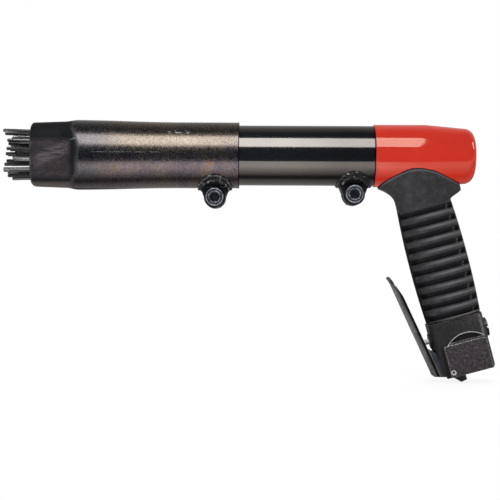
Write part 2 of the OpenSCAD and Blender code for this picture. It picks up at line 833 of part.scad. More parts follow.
module throttle_lever() {
    color("#47484a") handle_frame() translate([pin_t, 0, -pin_s]) intersection() {
        union() {
            side_plate(-lever_y, lever_y) lever_web();
            for (side = [0, 1]) mirror([0, side, 0]) side_plate(lever_y - lever_t, lever_y) lever_flange();
        }
        rotate([90, 0, 90]) translate([0, 0, -80]) linear_extrude(120) lever_outline();
    }
}

// Inner face of the lever's web on the plunger's axis
function web_t(s) = pin_t - (lever_face - lever_t) / cos(lever_lean) - (pin_s - s) * tan(lever_lean);

module throttle_plunger() {
    tip = 0.7;
    front = web_t(valve_s) + free_gap + tan(lever_lean) * plunger_d / 2;
    rear = ball_t - ball_r - 0.05;
    color("#d5d6d8") handle_frame() union() {
        rod_t(plunger_d / 2, front + tip, seat_front - 1);
        rod_t(plunger_d / 2 - tip, front, front + 2);
        rod_t(plunger_d * 0.34, seat_front - 2, rear);
    }
}

module plunger_bush() {
    color("#b08d4a") handle_frame() difference() {
        union() {
            rod_t(bush_r - seat_fit, block_front, bush_in);
            rod_t(bush_flange_r, block_front - bush_flange_t, block_front);
        }
        rod_t(plunger_d / 2 + slide_fit, block_front - 5, bush_in + eps);
    }
}

module plunger_seal() {
    color("#161616") handle_frame() translate([bush_in + seat_fit + seal_r, 0, -valve_s]) rotate([0, 90, 0])
        ring_seal((bush_r + plunger_d / 2) / 2, seal_r);
}

module throttle_seat() {
    color("#b08d4a") handle_frame() difference() {
        rod_t(valve_hole_r - seat_fit, seat_front, seat_front + seat_len);
        rod_t(seat_hole_r, seat_front - eps, seat_front + seat_len + eps);
    }
}

module throttle_ball() {
    color("#b9bbbe") handle_frame() translate([ball_t, 0, -valve_s]) sphere(ball_r);
}

module throttle_spring() {
    clear = throttle_wire / 2 + free_gap;
    on_ball = ball_t + sqrt(pow(ball_r + clear, 2) - pow(throttle_spring_r, 2));
    color("#8d8f92") handle_frame() translate([0, 0, -valve_s]) rotate([0, 90, 0])
        coil(throttle_spring_r, throttle_wire, on_ball, plug_front - clear, throttle_turns);
}

module valve_plug() {
    color("#242425") handle_frame() difference() {
        union() {
            rod_t(plug_neck_r, plug_front, plug_front + plug_neck_l + eps);
            rod_t(valve_hole_r - seat_fit, plug_front + plug_neck_l, block_rear + eps);
            rod_t(cap_r, block_rear, block_rear + cap_t);
        }
        translate([block_rear + cap_t - 1.2, -cap_r, -valve_s - 0.8]) cube([2, 2 * cap_r, 1.6]);
    }
}

module plug_seal() {
    wire = (valve_hole_r - plug_neck_r) / 2 - slide_fit;
    color("#161616") handle_frame() translate([plug_front + plug_neck_l / 2, 0, -valve_s]) rotate([0, 90, 0])
        ring_seal((valve_hole_r + plug_neck_r) / 2, wire);
}

module inlet_screen() {
    hole_r = 0.7;
    pitch = 2;
    color("#c4a562") handle_frame() difference() {
        rod_s(screen_r - seat_fit, block_end - inlet_l - screen_t, block_end - inlet_l, inlet_t);
        for (x = [-2:2], y = [-2:2])
            translate([0, pitch * y, 0]) rod_s(hole_r, sleeve_end, block_end, inlet_t + pitch * x);
    }
}

front_tube();
front_clamp_screw();
front_clamp_nut();
needles();
needle_holder();
return_spring();
spring_stop();
stop_circlip();
barrel_tube();
rear_clamp_screw();
rear_clamp_nut();
anvil();
anvil_bush();
cylinder_body();  // cylinder
cylinder_seal();
piston();
valve_seat();
valve_plate();
valve_cap();
back_head();
handle_core();
grip_sleeve();
throttle_block();
lever_pin();
throttle_lever();
throttle_plunger();
plunger_bush();
plunger_seal();
throttle_seat();
throttle_ball();
throttle_spring();
valve_plug();
plug_seal();
inlet_screen();
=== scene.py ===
"""Air needle scaler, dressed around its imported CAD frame. Metres, in the frame of the CAD."""
import math

import bmesh
import bpy
from mathutils import Matrix, Vector


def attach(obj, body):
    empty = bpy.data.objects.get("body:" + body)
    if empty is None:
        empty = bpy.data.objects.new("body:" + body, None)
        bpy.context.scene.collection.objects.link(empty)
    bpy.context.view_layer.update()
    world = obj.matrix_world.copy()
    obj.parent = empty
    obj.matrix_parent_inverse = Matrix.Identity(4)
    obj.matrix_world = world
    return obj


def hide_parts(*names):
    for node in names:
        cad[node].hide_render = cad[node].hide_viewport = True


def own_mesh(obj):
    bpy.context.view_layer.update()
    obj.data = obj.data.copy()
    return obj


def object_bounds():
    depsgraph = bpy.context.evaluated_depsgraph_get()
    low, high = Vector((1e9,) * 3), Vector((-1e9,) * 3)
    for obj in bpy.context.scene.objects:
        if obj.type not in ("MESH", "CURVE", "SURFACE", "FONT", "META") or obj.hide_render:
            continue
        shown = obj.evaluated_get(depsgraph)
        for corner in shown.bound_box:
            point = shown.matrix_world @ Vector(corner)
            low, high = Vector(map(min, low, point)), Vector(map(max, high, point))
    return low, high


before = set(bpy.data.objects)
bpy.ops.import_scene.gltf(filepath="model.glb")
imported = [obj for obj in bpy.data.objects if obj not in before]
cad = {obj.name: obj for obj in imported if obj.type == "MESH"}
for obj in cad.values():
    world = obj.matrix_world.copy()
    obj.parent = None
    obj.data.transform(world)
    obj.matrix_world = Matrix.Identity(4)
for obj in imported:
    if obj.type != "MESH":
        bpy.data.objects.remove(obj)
cad_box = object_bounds()
scene = bpy.context.scene
MM = 0.001
# The CAD's own materials leave their names free for the finishes below
for plain in bpy.data.materials:
    plain.name = "cad_" + plain.name

# Photograph's frame: pixel of the barrel's origin, and the size of a pixel at the barrel's axis
FRAME_PX = 500
ORIGIN_PX = (306, 155.6)
PX_MM = 0.85
CAMERA_BACK = 1.1
CAMERA_ROLL = math.radians(0.23)
SENSOR_MM = 36

# Handle frame of the CAD: s runs down the handle, t to its rear
TILT = math.radians(15)
HANDLE_X = 88.6
DOWN_HANDLE = Vector((math.sin(TILT), 0, -math.cos(TILT)))
TO_REAR = Vector((math.cos(TILT), 0, math.sin(TILT)))

# Lever frame: leaning back from the handle, its web's outer face this far from the pin
PIN_S, PIN_T = 184.9, -13.7
LEVER_LEAN, LEVER_FACE = math.radians(10), 15.3
LEVER_OUT = DOWN_HANDLE * math.sin(LEVER_LEAN) - TO_REAR * math.cos(LEVER_LEAN)
LEVER_UP = -DOWN_HANDLE * math.cos(LEVER_LEAN) - TO_REAR * math.sin(LEVER_LEAN)

# Throttle block: its top at the sleeve's end, half width, side panel, and the arc of the hollow above it
SLEEVE_END = 142
BLOCK_HALF_W = 17
PANEL_TOP, PANEL_FRONT = 162.3, -16.6
SCOOP_AT, SCOOP_R = (177.2, 4), 22

# Clamps, in mm: middle, tube radius, drop of the screw below the tube
FRONT_CLAMP = (-77.5, 27.9, 7.9)
REAR_CLAMP = (39.8, 25.4, 7.65)
PAD_R, PAD_LIFT, SLIT_HALF = 15.2, 2, 2.5


def handle_point(s, t, y):
    """Frame point, in mm, of a place on the handle."""
    return Vector((HANDLE_X, y, 0)) + DOWN_HANDLE * s + TO_REAR * t


def mix(a, b, u):
    return a + (b - a) * u


def share(value, low, high):
    """How far a value has come from low to high, held at 0 and 1."""
    return min(1, max(0, (value - low) / (high - low)))


def rise(value, low, high):
    """Share with soft ends."""
    u = share(value, low, high)
    return u * u * (3 - 2 * u)


def bend(v, n):
    """Sine or cosine squared off, for a section between an ellipse and a box."""
    return math.copysign(abs(v) ** (2 / n), v)


# Shader nodes


def add(tree, kind, inputs=None, **settings):
    """New node; an input takes a value or the socket that feeds it."""
    made = tree.nodes.new(kind)
    for key, value in settings.items():
        setattr(made, key, value)
    for key, value in (inputs or {}).items():
        if isinstance(value, bpy.types.NodeSocket):
            tree.links.new(value, made.inputs[key])
        else:
            made.inputs[key].default_value = value
    return made


def get(tree, kind, inputs=None, **settings):
    """First output of a new node."""
    return add(tree, kind, inputs, **settings).outputs[0]


def maths(tree, operation, a, b=0.0, clamp=False):
    return get(tree, "ShaderNodeMath", {0: a, 1: b}, operation=operation, use_clamp=clamp)


def vector_value(tree, operation, a, b):
    """Single number from two vectors."""
    return add(tree, "ShaderNodeVectorMath", {0: a, 1: b}, operation=operation).outputs["Value"]


def both(tree, *masks):
    """Product of masks and plain shares."""
    result = masks[0]
    for mask in masks[1:]:
        result = maths(tree, "MULTIPLY", result, mask)
    return result


def most(tree, *masks):
    """Largest of masks."""
    result = masks[0]
    for mask in masks[1:]:
        result = maths(tree, "MAXIMUM", result, mask)
    return result


def blend_colour(tree, amount, a, b, how="MIX"):
    a, b = (c if isinstance(c, bpy.types.NodeSocket) else (*c, 1) for c in (a, b))
    return add(tree, "ShaderNodeMix", {0: amount, 6: a, 7: b}, data_type="RGBA", blend_type=how).outputs[2]


def layered(tree, colour, *layers):
    """Colour under (mask, colour) layers, the last on top."""
    for mask, layer in layers:
        colour = blend_colour(tree, mask, colour, layer)
    return colour


def span(tree, value, low, high, to_low=0.0, to_high=1.0):
    """Value mapped from low..high to to_low..to_high, held at its ends."""
    return get(tree, "ShaderNodeMapRange", {0: value, 1: low, 2: high, 3: to_low, 4: to_high})


def within(tree, value, low, high, soft):
    """1 between low and high, fading over soft outside them."""
    return both(tree, span(tree, value, low - soft, low), span(tree, value, high + soft, high))


# Range that most of a noise's values fall in
NOISE_LOW, NOISE_HIGH = 0.3, 0.7


def spread(tree, noise, low, high):
    """Noise spread over low..high."""
    return span(tree, noise, NOISE_LOW, NOISE_HIGH, low, high)


def speckled(tree, colour, noise, low, high):
    """Colour lightened and darkened by a noise."""
    return blend_colour(tree, 1.0, colour, spread(tree, noise, low, high), "MULTIPLY")


def colours(tree, value, *stops):
    """Colour ramp of (place, colour) stops."""
    made = add(tree, "ShaderNodeValToRGB", {0: value})
    ramp = made.color_ramp
    while len(ramp.elements) < len(stops):
        ramp.elements.new(0.5)
    for element, (place, colour) in zip(ramp.elements, stops):
        element.position = place
        element.color = (*colour, 1)
    return made.outputs[0]


def tones(tree, noise, dark, light):
    """Noise between two close colours."""
    return colours(tree, noise, (NOISE_LOW, dark), (NOISE_HIGH, light))


def place_of(tree, stretch=(1, 1, 1)):
    """Object coordinates, scaled per axis."""
    coordinate = add(tree, "ShaderNodeTexCoord").outputs["Object"]
    return get(tree, "ShaderNodeMapping", {"Vector": coordinate, "Scale": stretch})


def place_in(tree, unit=MM):
    """Object coordinates in a unit, millimetres if none is given."""
    return place_of(tree, (1 / unit, 1 / unit, 1 / unit))


def axes_of(tree, unit=MM):
    """Object x, y and z in a unit, millimetres if none is given."""
    return add(tree, "ShaderNodeSeparateXYZ", {0: place_in(tree, unit)}).outputs


def reach_along(tree, direction, start):
    """Distance in mm from a start point along a direction."""
    offset = get(tree, "ShaderNodeVectorMath", {0: place_in(tree), 1: start}, operation="SUBTRACT")
    return vector_value(tree, "DOT_PRODUCT", offset, direction)


def away_from(tree, middle):
    """Distance in mm from the line along y through a point of the plane y = 0."""
    return vector_value(tree, "DISTANCE", place_of(tree, (1 / MM, 0, 1 / MM)), middle)


def cloud(tree, vector, scale, detail=3.0, rough=0.55, warp=0.0):
    inputs = {"Vector": vector, "Scale": scale, "Detail": detail, "Roughness": rough, "Distortion": warp}
    return get(tree, "ShaderNodeTexNoise", inputs)


def shader_group(name, inputs, outputs):
    """Empty shader group with float inputs (name, default) and outputs (name, kind)."""
    tree = bpy.data.node_groups.new(name, "ShaderNodeTree")
    for label, value in inputs:
        socket = tree.interface.new_socket(label, in_out="INPUT", socket_type="NodeSocketFloat")
        socket.default_value = value
    for label, kind in outputs:
        tree.interface.new_socket(label, in_out="OUTPUT", socket_type=kind)
    return tree, tree.nodes.new("NodeGroupInput").outputs, tree.nodes.new("NodeGroupOutput").inputs


def make_edge_wear():
    """Rounded-edge normal, and a broken mask along the edges."""
    tree, given, result = shader_group("edge_wear", [("Width", 0.0006), ("Breakup", 400), ("Reach", 5)],
                                       [("Mask", "NodeSocketFloat"), ("Normal", "NodeSocketVector")])
    rounded = get(tree, "ShaderNodeBevel", {"Radius": given["Width"]}, samples=6)
    flat = add(tree, "ShaderNodeNewGeometry").outputs["Normal"]
    along = vector_value(tree, "DOT_PRODUCT", rounded, flat)
    edge = maths(tree, "MULTIPLY", maths(tree, "SUBTRACT", 1.0, along), given["Reach"], True)
    patch = cloud(tree, place_of(tree), given["Breakup"], 4)
    tree.links.new(both(tree, edge, span(tree, patch, 0.36, 0.6)), result["Mask"])
    tree.links.new(rounded, result["Normal"])
    return tree


def make_fine_grain():
    """Fine surface grain with slower cloudy change."""
    tree, given, result = shader_group("fine_grain", [("Scale", 900), ("Cloud Scale", 40)],
                                       [("Grain", "NodeSocketFloat"), ("Cloud", "NodeSocketFloat")])
    at = place_of(tree)
    tree.links.new(cloud(tree, at, given["Scale"], 2, 0.6), result["Grain"])
    tree.links.new(cloud(tree, at, given["Cloud Scale"], 4, 0.6, 0.4), result["Cloud"])
    return tree


def make_scuffs():
    """Thin rubbed streaks along the tubes."""
    tree, given, result = shader_group("scuffs", [("Scale", 60), ("Least", 0.66)],
                                       [("Mask", "NodeSocketFloat")])
    streak = cloud(tree, place_of(tree, (0.16, 2.4, 2.4)), given["Scale"], 5, 0.65, 0.3)
    patch = cloud(tree, place_of(tree), 22, 2)
    thin = span(tree, streak, given["Least"], maths(tree, "ADD", given["Least"], 0.08))
    tree.links.new(both(tree, thin, span(tree, patch, 0.45, 0.6)), result["Mask"])
    return tree


EDGE_WEAR, FINE_GRAIN, SCUFFS = make_edge_wear(), make_fine_grain(), make_scuffs()


def use(tree, group, **values):
    """Places a shared effect with its own values."""
    made = add(tree, "ShaderNodeGroup", node_tree=group)
    for key, value in values.items():
        made.inputs[key.replace("_", " ")].default_value = value
    return made.outputs


def empty_tree(owner):
    """Cleared node tree of a material or a world."""
    owner.use_nodes = True
    owner.node_tree.nodes.clear()
    return owner.node_tree


def new_finish(name, metal=0.0, **sockets):
    """Files a material with one principled shader; plain values go on its own sockets."""
    FINISH[name] = bpy.data.materials.new(name)
    tree = empty_tree(FINISH[name])
    values = {key.replace("_", " "): value for key, value in sockets.items()}
    shader = add(tree, "ShaderNodeBsdfPrincipled", {"Metallic": metal, **values})
    tree.links.new(shader.outputs[0], add(tree, "ShaderNodeOutputMaterial").inputs[0])
    return tree, shader.inputs


def feed(tree, inputs, colour, roughness, height, depth, normal=None):
    """Links colour, roughness and bump to the shader."""
    tree.links.new(colour, inputs["Base Color"])
    tree.links.new(roughness, inputs["Roughness"])
    bump = add(tree, "ShaderNodeBump", {"Height": height, "Distance": depth, "Strength": 1.0})
    if normal is not None:
        tree.links.new(normal, bump.inputs["Normal"])
    tree.links.new(bump.outputs[0], inputs["Normal"])


# Finishes, filed by name

FINISH = {}
BLACKED = (0.014, 0.014, 0.016)

# Front tube, in mm: edge of the black nose, its bow over the height, which carries painted shade onto the
# shoulder, and its ragged line
NOSE_EDGE, NOSE_SHADE_BOW, NOSE_HALF_H, NOSE_RAGGED = (-194.5, -198.5), 5.5, 22, 1.2
# Places where its finish changes, fading from the first value to the second; some carry painted reflection
# tints and painted shade
MAUVE_Z, VIOLET_X, FLAT_X, NOSE_REFLECTION_Z = (6, -4), (-148, -190), (-196, -200), (-22.5, -25.5)
FRONT_LUG_Z, FRONT_END_SHADE_X, NEAR_Y = (-28.2, -28.8), (-57.9, -57.5), (0, -1)
# Marks on it, each from, to and fade: rubbed flat, slanting rub, chips, scratch, and the nose's crease
FLAT_Z = (-18, 9, 4.5)
RUB_AT, RUB_ACROSS = Vector((-214.6, 0, -1.2)), Vector((-0.42, 0, 0.907))
RUB_X, RUB_WIDTH = (-224, -200.5, 5), (-3, 3, 4)
CHIPS_X, CHIPS_Z = (-116, -100, 3), (16.8, 18.6, 1)
SCRATCH_X, SCRATCH_Z = (-178, -124, 4), (0.6, 0.9, 0.4)
CREASE_X = (-210, -175, 3)


def near_screw(tree, clamp):
    """Mask of a clamp's welded foot, round its screw."""
    x, r, drop = clamp
    return span(tree, away_from(tree, Vector((x, 0, PAD_LIFT - r - drop))), PAD_R + 1, PAD_R)


def heat_tinted_steel():
    """Front tube: heat-tinted steel with painted reflection tints; matte black on the pressed nose, rubbed on
    its flats; black clamp; painted shade at the shoulder and the rear end.
    """
    tree, inputs = new_finish("heat_tinted_steel", Specular_IOR_Level=0.12)
    grain, tint = use(tree, FINE_GRAIN, Scale=1000, Cloud_Scale=42)
    edges, rounded = use(tree, EDGE_WEAR, Width=0.0008, Breakup=260, Reach=7)
    stray = use(tree, SCUFFS, Scale=90, Least=0.68)["Mask"]
    x, y, z = axes_of(tree)
    gold = colours(tree, tint, (0.32, (0.115, 0.1, 0.096)), (0.5, (0.145, 0.12, 0.098)),
                   (0.68, (0.175, 0.146, 0.117)))
    mauve = colours(tree, tint, (0.38, (0.115, 0.1, 0.122)), (0.48, (0.15, 0.125, 0.131)),
                    (0.57, (0.175, 0.142, 0.137)), (0.65, (0.2, 0.138, 0.095)))
    violet = tones(tree, tint, (0.08, 0.08, 0.088), (0.115, 0.104, 0.108))
    # Gold above, mauve below: heat tint, with the tints of the sheen and of the lower floor reflection
    # painted in
    body = layered(tree, gold, (span(tree, z, *MAUVE_Z), mauve), (span(tree, x, *VIOLET_X), violet))
    body = speckled(tree, body, grain, 0.5, 1.5)

    # The black nose edge bows onto the tube at mid height: painted shade over the shoulder
    high = maths(tree, "DIVIDE", z, NOSE_HALF_H)
    bow = both(tree, maths(tree, "SUBTRACT", 1.0, both(tree, high, high), True), NOSE_SHADE_BOW)
    ragged = spread(tree, tint, -NOSE_RAGGED, NOSE_RAGGED)
    nose = span(tree, maths(tree, "ADD", x, maths(tree, "SUBTRACT", ragged, bow)), *NOSE_EDGE)
    black = speckled(tree, (0.01, 0.0105, 0.012), grain, 0.4, 1.6)
    # Lighter band along the nose's underside: painted reflection of the floor
    under = both(tree, nose, span(tree, z, *NOSE_REFLECTION_Z))
    flat = both(tree, nose, within(tree, z, *FLAT_Z), span(tree, x, *FLAT_X))
    patch = cloud(tree, place_of(tree, (0.7, 1, 1.2)), 160, 6, 0.7)
    rubbed = both(tree, flat, spread(tree, patch, 0.1, 0.85))
    slant = within(tree, reach_along(tree, RUB_ACROSS, RUB_AT), *RUB_WIDTH)
    fibres = cloud(tree, place_of(tree, (0.1, 1, 1)), 900, 3, 0.6)
    brushed = both(tree, flat, slant, within(tree, x, *RUB_X), span(tree, fibres, 0.38, 0.62))

    clamp = most(tree, span(tree, z, *FRONT_LUG_Z), near_screw(tree, FRONT_CLAMP))
    near = span(tree, y, *NEAR_Y)
    flakes = cloud(tree, place_of(tree, (0.5, 1.6, 1.6)), 420, 3, 0.6, 0.8)
    chips = both(tree, near, within(tree, x, *CHIPS_X), within(tree, z, *CHIPS_Z),
                 span(tree, flakes, 0.53, 0.57))
    scratch = both(tree, near, within(tree, x, *SCRATCH_X), within(tree, z, *SCRATCH_Z),
                   span(tree, flakes, 0.44, 0.54, 0.1, 0.5))
    rims = both(tree, edges, span(tree, within(tree, x, *CREASE_X), 0, 1, 0.5, 0.06))
    bright = most(tree, chips, scratch, both(tree, stray, 0.3), rims)
    # The last layer is painted shade along the tube's rear end
    body = layered(
        tree, body, (nose, black), (rubbed, (0.066, 0.055, 0.059)), (brushed, (0.112, 0.097, 0.102)),
        (under, (0.085, 0.075, 0.07)), (clamp, BLACKED), (bright, (0.72, 0.7, 0.67)),
        (span(tree, x, *FRONT_END_SHADE_X), (0.012, 0.012, 0.013)))
    dull = most(tree, nose, clamp)
    gloss = maths(tree, "ADD", spread(tree, grain, 0.19, 0.31), both(tree, dull, 0.3))
    feed(tree, inputs, body, gloss, grain, 0.000014, rounded)
    metal = maths(tree, "SUBTRACT", span(tree, dull, 0, 1, 0.97, 0.3), both(tree, bright, 0.3))
    tree.links.new(metal, inputs["Metallic"])


# Barrel, in mm: where it darkens to the rear, a painted dimming of its sheen, its lugs, and its joint with
# the back head
BARREL_SHEEN_DIM_X, REAR_LUG_Z, HEAD_JOINT_X = (-20, 30), (-25.7, -26.3), (55.8, 56.2)


def blued_steel():
    """Barrel: smooth glossy blued steel with black lugs and a dark joint at the back head; its sheen is
    painted dimmer towards the rear.
    """
    tree, inputs = new_finish("blued_steel", Specular_IOR_Level=0.2)
    grain, tint = use(tree, FINE_GRAIN, Scale=700, Cloud_Scale=18)
    edges, rounded = use(tree, EDGE_WEAR, Width=0.0006, Breakup=300, Reach=5)
    streak = use(tree, SCUFFS, Scale=90, Least=0.7)["Mask"]
    x, _, z = axes_of(tree)
    body = tones(tree, tint, (0.14, 0.131, 0.124), (0.165, 0.153, 0.142))
    # Painted dimming of the sheen towards the rear
    body = blend_colour(tree, 1.0, body, span(tree, x, *BARREL_SHEEN_DIM_X, 0.92, 0.68), "MULTIPLY")
    rubbed = both(tree, most(tree, streak, edges), 0.4)
    lug = most(tree, span(tree, z, *REAR_LUG_Z), near_screw(tree, REAR_CLAMP))
    dark = most(tree, lug, span(tree, x, *HEAD_JOINT_X))
    body = layered(tree, body, (rubbed, (0.4, 0.4, 0.4)), (dark, BLACKED))
    gloss = maths(tree, "ADD", spread(tree, grain, 0.09, 0.14), both(tree, lug, 0.3))
    feed(tree, inputs, body, gloss, grain, 0.000002, rounded)
    tree.links.new(span(tree, lug, 0, 1, 0.98, 0.3), inputs["Metallic"])


def weld_metal():
    """Scaled black weld at the clamp feet, with bright specks painted in as glints."""
    tree, inputs = new_finish("weld_metal", 0.6)
    grain, tint = use(tree, FINE_GRAIN, Scale=900, Cloud_Scale=420)
    # The brightest tone is painted glints
    body = colours(tree, tint, (0.4, (0.012, 0.012, 0.014)), (0.56, (0.05, 0.049, 0.05)),
                   (0.68, (0.42, 0.41, 0.39)))
    feed(tree, inputs, body, spread(tree, grain, 0.25, 0.5), grain, 0.0003)


def red_paint():
    """Back head: glossy red paint with a slight orange peel."""
    tree, inputs = new_finish("red_paint", Specular_IOR_Level=0.72, Specular_Tint=(1, 0.97, 0.78, 1))
    grain, tint = use(tree, FINE_GRAIN, Scale=420, Cloud_Scale=30)
    edges, rounded = use(tree, EDGE_WEAR, Width=0.0008, Breakup=300, Reach=3)
    body = tones(tree, tint, (0.487, 0.0245, 0.0137), (0.52, 0.0285, 0.0157))
    body = layered(tree, body, (both(tree, edges, 0.5), (0.3, 0.02, 0.016)))
    feed(tree, inputs, body, spread(tree, grain, 0.035, 0.055), grain, 0.000003, rounded)


def grip_rubber():
    """Grip sleeve: matte moulded rubber; painted highlights make the rib tops paler and painted shade makes
    the grooves black.
    """
    tree, inputs = new_finish("grip_rubber", Specular_IOR_Level=0.3)
    grain, tint = use(tree, FINE_GRAIN, Scale=650, Cloud_Scale=170)
    painted_light = add(tree, "ShaderNodeAttribute", attribute_name="painted_light").outputs["Fac"]
    body = colours(tree, tint, (0.34, (0.0175, 0.018, 0.0195)), (0.5, (0.025, 0.0245, 0.0265)),
                   (0.66, (0.037, 0.0335, 0.036)))
    body = speckled(tree, body, grain, 0.7, 1.3)
    # Painted shade: black in the grooves, under the ribs, in the pockets and on the front spine
    groove = span(tree, painted_light, 1.0, 0.35)
    # Painted highlight on the rib tops, the lip line, the pocket edges and the saddle's edge
    painted_highlight = span(tree, painted_light, 1.0, 2.0, 0.0, 0.7)
    body = layered(tree, body, (groove, (0.004, 0.004, 0.005)), (painted_highlight, (0.17, 0.167, 0.17)))
    gloss = maths(tree, "ADD", spread(tree, grain, 0.5, 0.66), both(tree, groove, 0.34))
    feed(tree, inputs, body, gloss, grain, 0.00012)


# Throttle block, in mm: dark front, handled upper rear, rubbed rear corner, painted shadow line before the
# panel, and the hollow with painted shade in it and a painted highlight on its arc
FRONT_DARK_T, HANDLED_T, CORNER_T = (6, -10), (6, 16), (18.6, 19.8, 0.9)
PANEL_SHADOW_T = (PANEL_FRONT - 2.6, PANEL_FRONT - 0.3, 0.5)
SCOOP_LINE, SCOOP_FLOOR = (0, 0.42, 0.2), 3.5


def black_casting():
    """Throttle block: black casting, mottled on its side panels, with bright edge wear, a painted highlight
    along the hollow's arc, and painted shade in the hollow and before the panel.
    """
    tree, inputs = new_finish("black_casting", 0.3, Specular_IOR_Level=0.35)
    grain, tint = use(tree, FINE_GRAIN, Scale=800, Cloud_Scale=480)
    edges, rounded = use(tree, EDGE_WEAR, Width=0.0009, Breakup=700, Reach=9)
    s, t = (reach_along(tree, way, handle_point(0, 0, 0)) for way in (DOWN_HANDLE, TO_REAR))
    out = maths(tree, "SUBTRACT", maths(tree, "ABSOLUTE", axes_of(tree)[1]), BLOCK_HALF_W)
    front = span(tree, t, *FRONT_DARK_T, 0.0, 0.6)
    handled = both(tree, span(tree, t, *HANDLED_T), span(tree, s, SLEEVE_END + 9, SLEEVE_END + 2),
                   span(tree, tint, 0.35, 0.6, 0.1, 0.6))
    corner = both(tree, within(tree, t, *CORNER_T), span(tree, s, PANEL_TOP + 6, PANEL_TOP - 4),
                  span(tree, tint, 0.35, 0.55, 0.35, 0.85))
    joint = span(tree, s, SLEEVE_END + 1, SLEEVE_END + 0.6)
    panel = span(tree, out, 0.3, 0.6)
    body = colours(tree, tint, (0.3, (0.016, 0.0155, 0.016)), (0.5, (0.028, 0.0265, 0.0275)),
                   (0.7, (0.046, 0.0425, 0.0445)))
    mottled = colours(tree, tint, (0.32, (0.02, 0.017, 0.019)), (0.5, (0.046, 0.039, 0.043)),
                      (0.64, (0.08, 0.069, 0.076)), (0.74, (0.22, 0.2, 0.21)))
    body = layered(tree, body, (front, (0.014, 0.015, 0.015)), (handled, (0.08, 0.063, 0.06)),
                   (corner, (0.17, 0.16, 0.158)), (joint, (0.004, 0.004, 0.004)), (panel, mottled))
    body = speckled(tree, body, grain, 0.7, 1.3)

    arc = maths(tree, "SUBTRACT", away_from(tree, handle_point(*SCOOP_AT, 0)), SCOOP_R)
    above = span(tree, s, PANEL_TOP + 0.6, PANEL_TOP + 0.2)
    # Painted shade in the scoop's hollow above the panel
    hollow = both(tree, above, span(tree, arc, 0, -0.3), span(tree, out, -0.1, -0.5),
                  span(tree, out, -SCOOP_FLOOR, 0.5 - SCOOP_FLOOR))
    # Painted shadow line in front of the raised side panel
    panel_shadow = both(tree, within(tree, t, *PANEL_SHADOW_T), span(tree, s, PANEL_TOP, PANEL_TOP + 2), 0.8)
    # Painted highlight along the arc of the hollow, joined below with the real edge wear
    rim = both(tree, above, within(tree, arc, *SCOOP_LINE), span(tree, out, -1, -0.4))
    wear_and_highlight = most(tree, rim, both(tree, edges, span(tree, panel, 0, 1, 0.4, 1.0)))
    body = layered(tree, body, (hollow, (0.008, 0.008, 0.009)), (panel_shadow, (0.006, 0.006, 0.007)),
                   (wear_and_highlight, (0.62, 0.6, 0.585)))
    gloss = maths(tree, "SUBTRACT", spread(tree, grain, 0.42, 0.6), both(tree, wear_and_highlight, 0.1))
    feed(tree, inputs, body, gloss, tint, 0.00008, rounded)


# Lever, in mm: depth of its side band under the web's face, across which light and shade are painted, and its
# dark tip above the pin
BAND_D, TIP_UP = 8, (85, 89)


def black_sheet():
    """Lever: blackened sheet steel, grey along its side band and dark at the edges, both painted light and
    shade.
    """
    tree, inputs = new_finish("black_sheet", 0.5, Specular_IOR_Level=0.3)
    grain, tint = use(tree, FINE_GRAIN, Scale=800, Cloud_Scale=90)
    edges, rounded = use(tree, EDGE_WEAR, Width=0.0006, Breakup=350, Reach=6)
    streak = use(tree, SCUFFS, Scale=120, Least=0.62)["Mask"]
    pin = handle_point(PIN_S, PIN_T, 0)
    out = span(tree, reach_along(tree, LEVER_OUT, pin), LEVER_FACE - BAND_D, LEVER_FACE)
    # Painted light and shade across the side: grey bands of painted sheen, with a black painted shade line
    # between them
    band = colours(
        tree, out, (0.35, (0.06, 0.062, 0.072)), (0.39, (0.2, 0.2, 0.2)), (0.43, (0.17, 0.17, 0.17)),
        (0.465, (0.012, 0.012, 0.013)), (0.5, (0.003, 0.003, 0.004)), (0.68, (0.003, 0.003, 0.004)),
        (0.72, (0.066, 0.061, 0.058)), (0.78, (0.115, 0.106, 0.101)), (0.88, (0.128, 0.12, 0.114)),
        (0.95, (0.165, 0.16, 0.155)), (1.0, (0.14, 0.137, 0.134)))
    tip = span(tree, reach_along(tree, LEVER_UP, pin), *TIP_UP, 0.0, 0.85)
    bright = both(tree, most(tree, streak, edges), 0.12)
    body = layered(tree, speckled(tree, band, tint, 0.7, 1.3), (tip, (0.008, 0.008, 0.009)),
                   (bright, (0.5, 0.5, 0.5)))
    feed(tree, inputs, body, spread(tree, grain, 0.34, 0.48), grain, 0.00003, rounded)


# Clamp screws, in mm: bright rings of the head's chamfer and socket, rubbed metal with a painted highlight,
# and the depth of the head's face
CHAMFER_RING, SOCKET_RING, SCREW_FACE = (6.7, 7.2, 0.3), (4.6, 5.1, 0.3), (17.5, 18.2)


